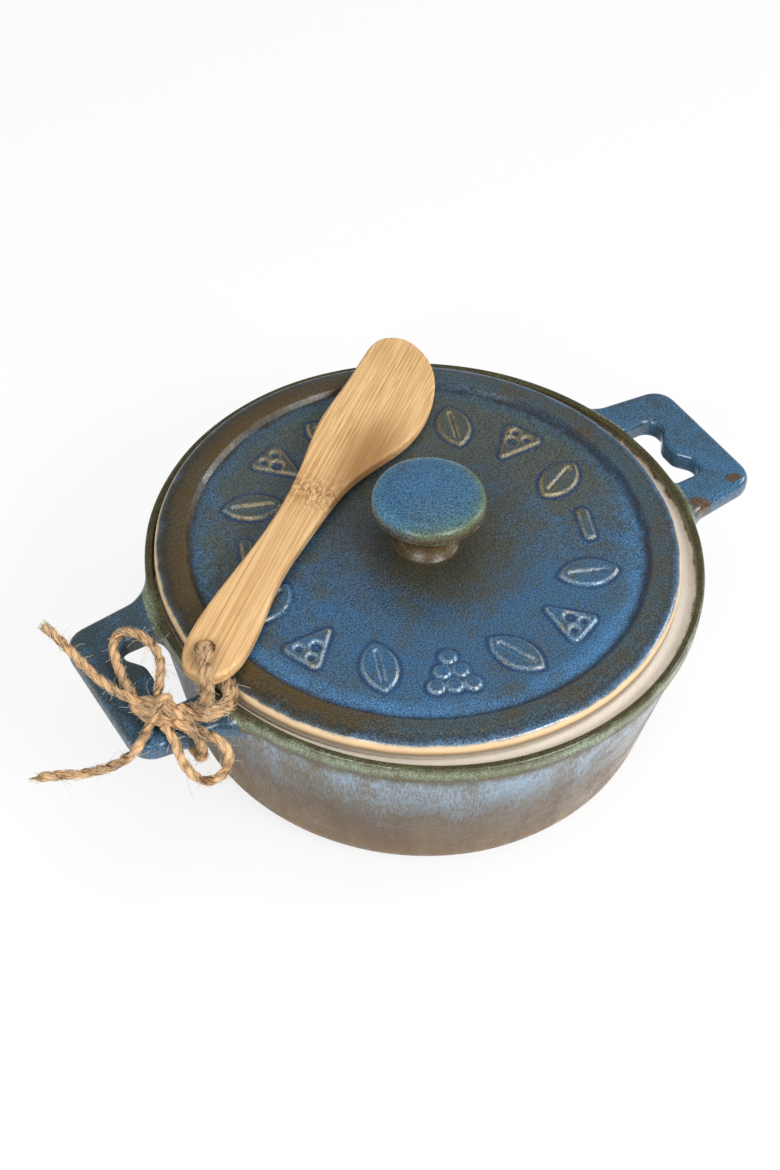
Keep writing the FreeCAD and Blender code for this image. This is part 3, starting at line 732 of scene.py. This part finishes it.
def build_lid():
    profile, along, marks = rounded_outline(LID_PROFILE, LID_SPACING, closed=False)
    chamfer, side, edge, crest_out, crest_in, disc, foot, foot_bead = marks[5:13]
    neck, under, rim_low, rim_high, shoulder = marks[14:19]
    # Rings lie closer together where the ornaments are
    from_ring = profile[:, 0] - ORNAMENT_RING
    in_band = (np.abs(from_ring) < ORNAMENT_HALF_BAND) & (np.abs(profile[:, 1] - DISC_TOP) < 0.01)
    first, last = np.flatnonzero(in_band)[[0, -1]]
    fine = ORNAMENT_RING + np.arange(ORNAMENT_HALF_BAND, -ORNAMENT_HALF_BAND, -ORNAMENT_SPACING)
    fine_along = np.interp(-fine, -profile[first - 1:last + 2, 0], along[first - 1:last + 2])
    fine_rings = np.stack([fine, np.full(len(fine), DISC_TOP)], axis=1)
    profile = np.concatenate([profile[:first], fine_rings, profile[last + 1:]])
    along = np.concatenate([along[:first], fine_along, along[last + 1:]])
    # Where each span of rings ends, and how many points its rings have
    spans = ((side, 384), (foot - 20, 768), (foot - 6, 384), (math.inf, 192))
    counts = [1, *(next(count for end, count in spans if at < end) for at in along[1:-1]), 1]
    turns, radius, height, place = turned_rings(profile, along, counts)
    radius = radius + untrue(turns, KNOB_LOBES) * ((place > neck) & (radius > 9))
    # The knob's lower edge stands out as a soft bead
    radius = radius + 0.35 * bell(place - rim_low - 0.5, 0.8)
    x, y = radius * np.cos(turns), radius * np.sin(turns)
    on_disc = (place > disc + 1) & (place < foot - 3)
    distance = np.full(len(x), FAR_OFF)
    distance[on_disc] = ornament_distance(x[on_disc], y[on_disc])
    height = height + ORNAMENT_HEIGHT * (1 - smooth_step(-0.55, 0.35, distance))
    height = height + 0.075 * waves(8, 42, x, y) * ((place > edge) & (place < foot))
    # The glaze is browner at the back and at the sides; round the knob's foot it is browner partly as glaze
    # and partly as the knob's painted shadow
    brown = 0.12 + 0.75 * smooth_step(-25, 50, y * 0.95 + x * 0.25) + 0.25 * waves(5, 46, x, y)
    brown += 0.38 * (1 - facing(x, y, -100, -0.2, 0.9)) * smooth_step(10, 40, np.hypot(x, y))
    # Round the knob's foot, towards the front right: partly brown glaze, partly the knob's painted shadow
    brown += 0.6 * bell(np.hypot(x - 5, y + 5) - 9, 13) * (place < foot_bead)
    # The knob is browner at the front and right of its side, and the border at the left and back
    knob_side = smooth_step(rim_high + 3.0, rim_high + 0.5, place)
    knob_brown = facing(x, y, -62, -0.4, 0.9) * (0.35 + 0.75 * knob_side)
    knob_brown += 0.05 + 0.25 * waves(6, 14, x, y, height)
    brown = np.where(place > foot_bead, knob_brown, brown)
    border_brown = 0.12 + 0.95 * facing(x, y, 145, -0.3, 0.8) + 0.25 * waves(9, 30, x, y)
    brown = np.where((place > edge - 3) & (place < disc), border_brown, brown)
    # The runs' reach in mm, at places along the profile
    reach = np.interp(place, *zip(
        (side + 2, 0.6), (edge - 0.3, 0.8), (edge + 1, 1.6), (crest_out, 4), (disc + 2, 4), (foot - 8, 8),
        (foot_bead, 3), (rim_low, 0.8), (rim_high, 2.5), (shoulder, 5)))
    values = {
        "profile": place * MM,
        "waver": reach * MM,
        "brown": brown,
        # Pale over the ornaments' edges: partly glaze breaking, partly a painted highlight
        "edge": bell(distance + 0.2, 0.42),
        "pool": smooth_step(0.1, 0.5, distance) * smooth_step(2.2, 0.7, distance),
    }
    zones = [
        (0, "#cfc3ae", "#cfc3ae", 0.5),
        (chamfer - 0.5, "#8a7458", "#8a7458", 0.5),
        (side + 0.6, "#e0d3c0", "#e0d3c0", 0.5),
        # Painted shadow: the dark band low on the lid's side is the shade in the gap between the lid and the
        # seat
        (side + 1.35, "#4b3a26", "#4b3a26", 0.2),
        (side + 1.6, "#4b3a26", "#4b3a26", 0.2),
        (side + 1.85, "#efc897", "#efc897", 0.0),
        (edge + 0.1, "#f8d9ae", "#f8d9ae", 0.0),
        (edge + 0.32, "#3a4248", "#33260f", 1.0),
        (edge + 0.6, "#5c7f9c", "#4a5a62", 1.0),
        (edge + 1.2, "#456480", "#383b36", 1.0),
        (edge + 2.6, "#2b3b4a", "#30281a", 1.0),
        (crest_out - 0.8, "#36484f", "#3f341d", 1.0),
        (crest_in - 0.2, "#384c56", "#4a3a1b", 1.0),
        (crest_in + 0.9, "#2a3f52", "#3a2c15", 1.0),
        (disc - 0.2, "#22384d", "#262521", 1.0),
        (disc + 1.3, "#43709a", "#364a58", 1.0),
        (disc + 3.0, "#406d96", "#3a4a50", 1.0),
        (disc + 6.0, "#335877", "#424843", 1.0),
        (disc + 24, "#31587a", "#424843", 1.0),
        (foot - 1, "#3b4142", "#3a3829", 1.0),
        (foot_bead - 0.6, "#543f17", "#4b370f", 1.0),
        # Painted highlight: the lighter ring on the bead at the knob's foot
        (foot_bead, "#566c6c", "#5f522f", 1.0),
        (foot_bead + 0.8, "#4c3811", "#4a360d", 1.0),
        (under - 0.5, "#5d4312", "#533a0f", 1.0),
        # The pale line along the knob's lower edge is partly pale glaze and partly a painted highlight
        (rim_low - 0.1, "#8fab9f", "#7f9079", 1.0),
        (rim_low + 0.8, "#4e463a", "#4a3823", 1.0),
        (rim_high - 1.0, "#4b5a60", "#4b4126", 1.0),
        (rim_high + 0.4, "#487693", "#505f3d", 1.0),
        (rim_high + 1.8, "#406e8a", "#3e5b59", 1.0),
        (shoulder - 1.0, "#376182", "#3b565e", 1.0),
        (along[-1], "#386083", "#3e5c74", 1.0),
    ]
    glaze = glazed_stoneware("poured_reactive_glaze_on_stoneware", zones, along[-1])
    # The knob, and the disc about it, stand a little to one side
    shifted = smooth_step(34, 16, radius) * (place > disc)
    points = np.stack([x, y, height], axis=1)
    points[:, :2] += LID_SHIFT + shifted[:, None] * KNOB_SHIFT
    make_piece("lid_glazed", points * MM, ring_faces(counts), values, glaze, ["lid"], "glazed_stoneware")


# Spreader

NODE_ALONG = 0.067
NODE_HALF_WIDTH = 0.0055
HOLE_DARKENING_PLACE = (0.0055, 0.0040, 0)
BEVEL_SHADE_PLACE = (0.084, -0.0100)
BEVEL_SHADE_SIZE = (0.020, 0.009)


def sanded_bamboo():
    """Split bamboo, sanded and oiled: straight fibre lines, short dark pores and one speckled node."""
    settings = bpy.context.scene.bamboo_settings
    material = bpy.data.materials.new("sanded_oiled_bamboo")
    tree = emptied_tree(material)
    # The blade's own X runs from its butt to its tip, and Z is up
    turn = math.radians(-SPREADER_HEADING)
    butt = Vector((KNOT_X + BUTT_OFFSET[0], KNOT_Y + BUTT_OFFSET[1], 0)) * MM
    blade = add(tree, "Mapping", {
        "Vector": add(tree, "TexCoord", out="Object"), "Rotation": (0, 0, turn),
        "Location": Matrix.Rotation(turn, 4, "Z") @ -butt})
    along = add(tree, "SeparateXYZ", {0: blade})
    flat = add(tree, "CombineXYZ", {0: along, 1: along.node.outputs["Y"]})
    bend = add(tree, "TexNoise", {"Vector": blade, "Scale": 1 / 0.03, "Detail": 1.0}, out="Color")
    bent = add(tree, "VectorMath", {0: bend, 1: (0, 0.0005, 0), 2: blade}, operation="MULTIPLY_ADD")
    # Real fibre lines are finer: they are drawn 0.5 mm apart so that they show
    grain = add(tree, "Mapping", {"Vector": bent, "Scale": (0.004, 1, 0.6)})
    lines, wider, broad = (
        add(tree, "TexNoise", {"Vector": where, "Scale": 1 / size, "Detail": detail})
        for where, size, detail in ((grain, settings.grain, 1.0), (grain, 2.5 * settings.grain, 1.0),
                                    (blade, 0.018, 2.0)))
    tone = add(tree, "Math", {0: wider, 1: 0.15, 2: lines}, operation="MULTIPLY_ADD")
    tone = add(tree, "Math", {0: broad, 1: 0.2, 2: tone}, operation="MULTIPLY_ADD")
    tone = add(tree, "MapRange", {"Value": tone, "From Min": 0.36, "From Max": 0.86})
    colour = add(tree, "Mix", {0: tone, 6: (*settings.dark, 1), 7: (*settings.light, 1)}, data_type="RGBA")
    # Pores are dashes about 8 mm long and 0.4 mm wide, thicker in some patches
    dash_place = add(tree, "Mapping", {"Vector": bent, "Scale": (0.05, 1, 1)})
    dashes = add(tree, "TexNoise", {"Vector": dash_place, "Scale": 1 / 0.0004, "Detail": 0.0})
    dashes = add(tree, "MapRange", {"Value": dashes, "From Min": 0.62, "From Max": 0.76, "To Max": 0.3})
    patch = add(tree, "TexNoise", {"Vector": blade, "Scale": 1 / 0.02, "Detail": 1.0})
    patch = add(tree, "MapRange", {"Value": patch, "From Min": 0.3, "From Max": 0.55, "To Min": 0.2})
    dashes = add(tree, "Math", {0: dashes, 1: patch}, operation="MULTIPLY")
    # The node is a band of short specks across the neck
    off = add(tree, "Math", {0: along, 1: NODE_ALONG}, operation="SUBTRACT")
    off = add(tree, "Math", {0: off, 1: NODE_HALF_WIDTH}, operation="DIVIDE")
    band = add(tree, "Math", {0: off, 1: off}, operation="MULTIPLY")
    band = add(tree, "Math", {0: 1 / math.e, 1: band}, operation="POWER")
    speck_place = add(tree, "Mapping", {"Vector": blade, "Scale": (0.55, 1, 1)})
    specks = add(tree, "TexNoise", {"Vector": speck_place, "Scale": 1 / 0.0008, "Detail": 3.0,
                                    "Roughness": 0.7})
    specks = add(tree, "MapRange", {"Value": specks, "From Min": 0.42, "From Max": 0.60, "To Max": 0.95})
    specks = add(tree, "Math", {0: specks, 1: band}, operation="MULTIPLY")
    # The wood is darker about the hole, and the blade is browner where it widens, a painted shade for its
    # sloping bevel
    hole_darkening = add(tree, "VectorMath", {0: flat, 1: HOLE_DARKENING_PLACE}, operation="DISTANCE")
    hole_darkening = add(tree, "MapRange", {"Value": hole_darkening, "From Min": 0.0022, "From Max": 0.0062, "To Min": 0.55,
                                 "To Max": 0.0})
    # Painted shade: browner where the blade widens, for the shade on its sloping bevel
    bevel_shade = add(tree, "Mapping", {
        "Vector": flat, "Scale": (1 / BEVEL_SHADE_SIZE[0], 1 / BEVEL_SHADE_SIZE[1], 0),
        "Location": (-BEVEL_SHADE_PLACE[0] / BEVEL_SHADE_SIZE[0], -BEVEL_SHADE_PLACE[1] / BEVEL_SHADE_SIZE[1], 0)})
    bevel_shade = add(tree, "VectorMath", {0: bevel_shade}, operation="LENGTH")
    bevel_shade = add(tree, "MapRange", {"Value": bevel_shade, "From Min": 0.2, "From Max": 1.4, "To Min": 0.8,
                                   "To Max": 0.0}, interpolation_type="SMOOTHSTEP")
    for cover, brown in ((dashes, "#8a6034"), (specks, "#8d6236"), (hole_darkening, "#8a6a44"), (bevel_shade, "#95693a")):
        colour = add(tree, "Mix", {0: cover, 6: colour, 7: brown}, data_type="RGBA")
    bump = add(tree, "Bump", {"Height": tone, "Strength": 0.35, "Distance": 0.12 * MM})
    shader = add(tree, "BsdfPrincipled", {"Base Color": colour, "Normal": bump, "Roughness": 0.55,
                                          "IOR": 1.45})
    add(tree, "OutputMaterial", {"Surface": shader})
    return material


def build_spreader():
    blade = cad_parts["spreader"]
    blade.data.materials.clear()
    blade.data.materials.append(sanded_bamboo())


# Twine

def jute(name, pale):
    """Two-ply jute: dry matt bast fibres laid along each ply, with dark gaps between them and painted shade
    in the creases between the plies.
    """
    settings = bpy.context.scene.twine_settings
    material = bpy.data.materials.new(name)
    tree = emptied_tree(material)
    along, around, groove = (add(tree, "Attribute", out="Fac", attribute_name=key)
                             for key in ("along", "around", "groove"))
    turned = add(tree, "CombineXYZ", {0: along, 1: around})
    # Real fibres are finer: they are drawn 0.3 mm wide so that they show
    fibre_place = add(tree, "Mapping", {"Vector": turned, "Scale": (0.11, 1, 1)})
    fibres = add(tree, "TexNoise", {"Vector": fibre_place, "Scale": 1 / 0.0003, "Detail": 3.0,
                                    "Roughness": 0.65})
    place = add(tree, "TexCoord", out="Object")
    patch = add(tree, "TexNoise", {"Vector": place, "Scale": 1 / 0.004, "Detail": 3.0})
    tone = add(tree, "Math", {0: patch, 1: 0.9, 2: fibres}, operation="MULTIPLY_ADD")
    tone = add(tree, "MapRange", {"Value": tone, "From Min": 0.78, "From Max": 1.06})
    shaded = add(tree, "Math", {0: tone, 1: groove}, operation="MULTIPLY")
    colour = add(tree, "Mix", {0: shaded, 6: (*settings.dark, 1), 7: (*settings.light, 1)}, data_type="RGBA")
    if pale:
        colour = add(tree, "Mix", {0: 0.6, 6: colour, 7: "#ecd9b8"}, data_type="RGBA")
    bump = add(tree, "Bump", {"Height": fibres, "Strength": 0.8, "Distance": 0.16 * MM})
    shader = add(tree, "BsdfPrincipled", {"Base Color": colour, "Normal": bump, "Roughness": 0.9,
                                          "IOR": 1.45})
    add(tree, "OutputMaterial", {"Surface": shader})
    return material


def nurbs_line(name, controls):
    """Evenly spaced points along the smooth line that has these control points."""
    curve = bpy.data.curves.new(name, "CURVE")
    curve.dimensions = "3D"
    curve.resolution_u = 24
    spline = curve.splines.new("NURBS")
    spline.points.add(len(controls) - 1)
    for point, control in zip(spline.points, controls):
        point.co = (*control, 1)
    spline.order_u = 3
    spline.use_endpoint_u = True
    holder = bpy.data.objects.new(name, curve)
    mesh = bpy.data.meshes.new_from_object(holder)
    line = np.array([v.co for v in mesh.vertices])
    bpy.data.objects.remove(holder)
    bpy.data.curves.remove(curve)
    bpy.data.meshes.remove(mesh)
    return respaced(line)


def respaced(line):
    along = run_lengths(line)
    places = np.linspace(0, along[-1], max(int(along[-1] / TWINE_STEP), 8))
    return np.stack([np.interp(places, along, line[:, k]) for k in range(3)], axis=1)


def carried_frames(line):
    """Tangents and two side directions that don't twist about the line."""
    tangents = np.gradient(line, axis=0)
    tangents /= np.linalg.norm(tangents, axis=1)[:, None]
    side = unit(np.cross(tangents[0], (0.3, 0.2, 1.0)))
    sides = []
    for tangent in tangents:
        side = unit(side - tangent * (side @ tangent))
        sides.append(side)
    sides = np.array(sides)
    return tangents, sides, np.cross(tangents, sides)


def ply_lines(line, diameter, twist, phase):
    """The centre lines of the two plies that wind round the line."""
    _, sides, others = carried_frames(line)
    step = np.linalg.norm(line[1] - line[0])
    lines = []
    for ply in (0, 1):
        angle = 2 * math.pi * (np.arange(len(line)) * step / twist + ply / 2) + phase
        out = np.cos(angle)[:, None] * sides + np.sin(angle)[:, None] * others
        lines.append(line + 0.17 * diameter * out)
    return lines


def yarn_tube(line, core, radius, seed, tapers):
    """A ply's tube: a lumpy round section, narrowed at the ends that show."""
    rng = np.random.default_rng(seed)
    sides = 12
    _, first, second = carried_frames(line)
    count = len(line)
    along = np.arange(count) * np.linalg.norm(line[1] - line[0])
    lump = 1 + 0.07 * np.sin(along / 0.0031 + rng.uniform(0, 6))
    lump = lump + 0.05 * np.sin(along / 0.0013 + rng.uniform(0, 6))
    for at_start, length in tapers:
        distance = along if at_start else along[-1] - along
        lump = lump * (0.25 + 0.75 * smooth_step(0, length, distance))
    angles = np.arange(sides) / sides * 2 * math.pi
    points, groove = [], []
    for i in range(count):
        ridge = 1 + 0.05 * np.sin(3 * angles + along[i] / 0.0007) + rng.normal(0, 0.02, sides)
        ring = np.cos(angles)[:, None] * first[i] + np.sin(angles)[:, None] * second[i]
        points.append(line[i] + ring * (radius * lump[i] * ridge)[:, None])
        # Painted shade: darker where the surface dips towards the core, in the creases between the plies
        depth = np.linalg.norm(points[-1] - core[i], axis=1)
        groove.append(smooth_step(0.35 * radius, 1.35 * radius, depth) * 0.75 + 0.25)
    values = {
        "along": np.concatenate([[0], np.repeat(along, sides), [along[-1]]]),
        "around": np.concatenate([[0], np.tile(radius * np.sin(angles), count), [0]]),
        "groove": np.concatenate([[0.6], *groove, [0.6]]),
    }
    return np.concatenate([line[:1], *points, line[-1:]]), ring_faces([1] + [sides] * count + [1]), values


def strand_mesh(lines, diameter, seed, tapers=()):
    """Two-ply strands along the lines, as one mesh."""
    twist = bpy.context.scene.twine_settings.twist
    return joined([
        yarn_tube(ply, line, 0.33 * diameter, 31 * seed + 7 * n + p, tapers)
        for n, line in enumerate(lines)
        for p, ply in enumerate(ply_lines(line, diameter, twist, 0.9 * seed + 2.2 * n))])


def build_cords():
    material = jute("spun_two_ply_jute", False)
    lines = {}
    for seed, (name, controls) in enumerate(ROUTES.items(), 1):
        line = nurbs_line(name, [KNOT_CENTRE + point for point in controls])
        lines[name] = [line]
        diameter = width = TWINE_DIAMETER
        if name == "twine_tether":
            # The twine lies doubled here, its two strands side by side across the view
            diameter, width = TETHER_DIAMETER, TETHER_STRAND
            across = np.cross(carried_frames(line)[0], CAMERA_BACK)
            offset = TETHER_HALF_GAP * across / np.linalg.norm(across, axis=1)[:, None]
            lines[name] = [respaced(line + offset), respaced(line - offset)]
        tapers = [(False, 0.003)] if name == "twine_end_lower" else []
        mesh = strand_mesh(lines[name], width, seed, tapers)
        piece = make_piece(name + "_strands", *mesh, material, [name], "jute")
    build_knot(material, lines)
    build_hairs(lines)


def build_knot(material, lines):
    """Two bights laid round each other, a strand across the top and one turn that holds them."""
    turn = math.radians(KNOT_HEADING)
    axis = np.array([math.cos(turn), math.sin(turn), 0])
    up = np.array([0, 0, 1.0])
    side = np.cross(axis, up)
    # Control points in mm along the knot, to its side and up
    strands = [
        [(5.5, 0.6, -0.5), (2.0, 1.9, 0.6), (-2.5, 2.0, 1.0), (-5.8, 1.5, 0.2), (-6.4, -0.4, -0.4),
         (-4.0, -1.6, 0.4), (0.5, -1.6, 1.2), (5.0, -0.6, 0.6)],
        [(-5.6, 0.2, -0.2), (-3.0, 0.2, 0.7), (0.0, 0.4, 0.4), (3.0, 0.2, -0.4)],
        [(6.0, 1.6, -1.6), (2.0, 2.3, -1.6), (-3.0, 1.9, -1.5), (-5.2, 0.0, -1.8), (-3.0, -1.6, -1.6),
         (3.0, -1.4, -1.4), (6.0, -0.6, -1.0)],
        [(-1.0, 0.4, 2.2), (2.0, 1.2, 2.2), (5.0, 1.4, 1.0), (6.6, 0.4, -0.6)],
    ]
    holding = []
    holding_radius = 3.3
    for angle in range(-120, 241, 40):
        rise = np.interp(angle, [-120, -60, 150, 240], [-0.4, -1.9, 1.5, -0.4])
        around = math.radians(angle)
        holding.append((rise, holding_radius * math.cos(around), holding_radius * math.sin(around)))
    strands.append(holding)
    lines["knot"] = []
    for n, places in enumerate(strands):
        controls = [KNOT_CENTRE + (axis * a + side * s + up * u) * MM for a, s, u in places]
        lines["knot"].append(nurbs_line(f"knot_strand_{n}", controls))
    mesh = strand_mesh(lines["knot"], TWINE_DIAMETER, 17)
    make_piece("twine_knot_wraps", *mesh, material, ["twine_knot"], "jute")


def fibre_tube(path, thickness):
    """A three-sided tube that thins to both of its ends."""
    count = len(path)
    _, side, other = carried_frames(path)
    girth = thickness * (0.45 + 0.55 * np.sin(np.linspace(0.15, 1, count) * 2.6))
    points = []
    for k in range(3):
        angle = 2 * math.pi * k / 3
        points.append(path + girth[:, None] * (math.cos(angle) * side + math.sin(angle) * other))
    points = np.stack(points, axis=1).reshape(-1, 3)
    faces = [(3 * j + k, 3 * j + (k + 1) % 3, 3 * j + (k + 1) % 3 + 3, 3 * j + k + 3)
             for j in range(count - 1) for k in range(3)]
    last = 3 * count - 3
    return points, faces + [(2, 1, 0), (last, last + 1, last + 2)]


def stray_fibre(line, at, rng):
    """A fibre that leaves the twine at a low angle and curls."""
    tangent = unit(line[at] - line[at - 1])
    out = unit(np.cross(tangent, rng.normal(size=3)))
    length = rng.uniform(0.0012, 0.0040) * (1 + 0.8 * (rng.random() < 0.12))
    heading = unit(out * rng.uniform(0.3, 1.0) + tangent * rng.choice([-1, 1]) * rng.uniform(0.5, 1.2))
    spot = line[at] + out * 0.0009
    curl = rng.normal(0, 0.4, 3)
    path = []
    for _ in range(7):
        path.append(spot)
        heading = unit(heading + curl * 0.3 + rng.normal(0, 0.08, 3))
        spot = spot + heading * length / 6
    return np.array(path)


def laid_fibre(line, sides, others, at, rng):
    """A fibre that follows the twist on the twine's surface and lifts a little at its ends."""
    step = np.linalg.norm(line[1] - line[0])
    twist = bpy.context.scene.twine_settings.twist
    run = min(rng.uniform(0.003, 0.008), (len(line) - 1 - at) * step)
    shares = np.linspace(0, 1, 9)
    places = at + shares * run / step
    low = np.floor(places).astype(int).clip(0, len(line) - 2)
    middle = line[low] + (line[low + 1] - line[low]) * (places - low)[:, None]
    angle = rng.uniform(0, 6.28) + 2 * math.pi * shares * run / twist * rng.uniform(0.5, 1.3)
    out = np.cos(angle)[:, None] * sides[low] + np.sin(angle)[:, None] * others[low]
    radius = 0.00108 + 0.0002 * rng.random() + 0.0006 * rng.random() * np.abs(2 * shares - 1) ** 4
    return middle + radius[:, None] * out


def end_fibre(line, width, spread, rng):
    """A fibre of a cut end, which runs on past it."""
    tangent = unit(line[-1] - line[-4])
    out = unit(np.cross(tangent, rng.normal(size=3)))
    start = line[-9] + out * width * rng.random()
    length = rng.uniform(0.0030, 0.0040)
    heading = tangent + out * spread * rng.random()
    shares = np.linspace(0, 1, 6)[:, None]
    return start + heading * length * shares + out * rng.normal(0, 0.0003) * shares ** 2


def build_hairs(lines):
    """Loose fibres along the twine and at its cut ends, drawn 0.1 mm thick so that they show."""
    count = bpy.context.scene.twine_settings.hairs
    rng = np.random.default_rng(12)
    strands = [(line, *carried_frames(line)[1:]) for name in lines for line in lines[name]]
    weights = np.array([len(strand[0]) for strand in strands], float)
    weights /= weights.sum()
    paths = []
    for n in range(count * 3):
        line, sides, others = strands[rng.choice(len(strands), p=weights)]
        at = rng.integers(1, len(line) - 10)
        paths.append(stray_fibre(line, at, rng) if n < count else laid_fibre(line, sides, others, at, rng))
    # The upper end is frayed wide and the lower one is twisted to a point
    cut_ends = (("twine_end_upper", 80, 0.0013, 0.12), ("twine_end_lower", 24, 0.0007, -0.08))
    for name, fibres, width, spread in cut_ends:
        paths += [end_fibre(lines[name][0], width, spread, rng) for _ in range(fibres)]
    tubes = []
    for path in paths:
        points, faces = fibre_tube(path, rng.uniform(0.00004, 0.00006))
        along = np.repeat(np.arange(len(path)) * 0.0007 + rng.random(), 3)
        groove = np.full(len(points), rng.uniform(0.2, 1.3))
        tubes.append((points, faces, {"along": along, "around": 0 * groove, "groove": groove}))
    make_piece("twine_hairs", *joined(tubes), jute("loose_jute_fibre", True), None, "jute")


# Stage

def place_camera(scene):
    camera = bpy.data.objects.new("camera", bpy.data.cameras.new("camera"))
    camera.data.lens = scene.stage_settings.lens
    camera.data.sensor_width = 36.0
    camera.data.sensor_fit = "AUTO"
    camera.data.clip_start = 0.01
    back = Vector(CAMERA_BACK).normalized()
    right = Vector((math.cos(CAMERA_HEADING), math.sin(CAMERA_HEADING), 0))
    up = back.cross(right)
    cos, sin = math.cos(CAMERA_ROLL), math.sin(CAMERA_ROLL)
    axes = Matrix((cos * right + sin * up, cos * up - sin * right, back)).transposed()
    camera.matrix_world = Matrix.Translation(CAMERA_PLACE) @ axes.to_4x4()
    scene.collection.objects.link(camera)
    scene.camera = camera


def lay_floor(scene):
    """Matt white paper that runs out into a white backdrop."""
    reach = 4
    mesh = bpy.data.meshes.new("floor")
    corners = [(-reach, -reach, 0), (reach, -reach, 0), (reach, reach, 0), (-reach, reach, 0)]
    mesh.from_pydata(corners, [], [(0, 1, 2, 3)])
    floor = bpy.data.objects.new("floor", mesh)
    scene.collection.objects.link(floor)
    material = bpy.data.materials.new("matt_white_paper")
    tree = emptied_tree(material)
    paper = add(tree, "BsdfDiffuse", {"Color": (0.88, 0.88, 0.88, 1)})
    white = add(tree, "Emission", {"Color": (1, 1, 1, 1), "Strength": 1.0})
    seen = add(tree, "LightPath", out="Is Camera Ray")
    away = add(tree, "VectorMath", {0: add(tree, "TexCoord", out="Object")}, operation="LENGTH")
    fade = add(tree, "MapRange", {"Value": away, "From Min": 0.3, "From Max": 0.9, "To Min": 0.8})
    share = add(tree, "Math", {0: seen, 1: fade}, operation="MULTIPLY")
    add(tree, "OutputMaterial", {"Surface": add(tree, "MixShader", {0: share, 1: paper, 2: white})})
    mesh.materials.append(material)


def light_studio(scene):
    """A soft white world and the softboxes."""
    world = bpy.data.worlds.new("studio")
    tree = emptied_tree(world)
    seen = add(tree, "LightPath", out="Is Camera Ray")
    soft, plain = (add(tree, "Background", {"Color": (1, 1, 1, 1), "Strength": strength})
                   for strength in (0.30, 1.0))
    add(tree, "OutputWorld", {"Surface": add(tree, "MixShader", {0: seen, 1: soft, 2: plain})})
    scene.world = world
    for name, (place, width, power) in LAMPS.items():
        lamp = bpy.data.objects.new(name, bpy.data.lights.new(name, "AREA"))
        lamp.data.shape = "RECTANGLE"
        lamp.data.size = width
        lamp.data.size_y = width * LAMP_HEIGHT_SHARE
        lamp.data.energy = power * scene.stage_settings.level
        lamp.location = place
        lamp.rotation_euler = (LAMP_TARGET - Vector(place)).to_track_quat("-Z", "Y").to_euler()
        # The top lamp only fills the shade, so the glaze doesn't mirror it
        lamp.visible_glossy = name != "top_softbox"
        scene.collection.objects.link(lamp)


def build_stage():
    scene = bpy.context.scene
    place_camera(scene)
    lay_floor(scene)
    light_studio(scene)
    scene.view_settings.view_transform = "Standard"


class BAKER_OT_stage(bpy.types.Operator):
    """Sets up the floor, the light and the camera"""
    bl_idname = "baker.stage"
    bl_label = "Stage"

    def execute(self, context):
        build_stage()
        return {"FINISHED"}


class BAKER_OT_twine(bpy.types.Operator):
    """Spins the twine, its knot and its loose fibres"""
    bl_idname = "baker.twine"
    bl_label = "Twine"

    def execute(self, context):
        build_cords()
        return {"FINISHED"}


class BAKER_OT_dish(bpy.types.Operator):
    """Moulds and glazes the dish with its two ears"""
    bl_idname = "baker.dish"
    bl_label = "Dish"

    def execute(self, context):
        build_dish()
        return {"FINISHED"}


class BAKER_OT_lid(bpy.types.Operator):
    """Moulds and glazes the lid with its ornaments and knob"""
    bl_idname = "baker.lid"
    bl_label = "Lid"

    def execute(self, context):
        build_lid()
        return {"FINISHED"}


class BAKER_OT_spreader(bpy.types.Operator):
    """Gives the spreader its bamboo"""
    bl_idname = "baker.spreader"
    bl_label = "Spreader"

    def execute(self, context):
        build_spreader()
        return {"FINISHED"}


OPERATORS = (BAKER_OT_stage, BAKER_OT_twine, BAKER_OT_dish, BAKER_OT_lid, BAKER_OT_spreader)
GROUPS = {
    "twine_settings": TwineSettings,
    "glaze_settings": GlazeSettings,
    "bamboo_settings": BambooSettings,
    "stage_settings": StageSettings,
}


class BAKER_PT_panel(bpy.types.Panel):
    """Lists the pieces and their settings"""
    bl_idname = "BAKER_PT_panel"
    bl_label = "Camembert baker"
    bl_space_type = "VIEW_3D"
    bl_region_type = "UI"
    bl_category = "Camembert baker"

    def draw(self, context):
        for name, group in GROUPS.items():
            box = self.layout.box()
            for key in group.__annotations__:
                box.prop(getattr(context.scene, name), key)
        for operator in OPERATORS:
            self.layout.operator(operator.bl_idname)


def register():
    for kind in (*GROUPS.values(), *OPERATORS, BAKER_PT_panel):
        bpy.utils.register_class(kind)
    for name, group in GROUPS.items():
        setattr(bpy.types.Scene, name, bpy.props.PointerProperty(type=group))


def unregister():
    for name in GROUPS:
        delattr(bpy.types.Scene, name)
    for kind in reversed((*GROUPS.values(), *OPERATORS, BAKER_PT_panel)):
        bpy.utils.unregister_class(kind)


def main():
    register()
    bpy.ops.baker.stage()
    bpy.ops.baker.twine()
    bpy.ops.baker.dish()
    bpy.ops.baker.lid()
    bpy.ops.baker.spreader()


if __name__ == "__main__":
    main()
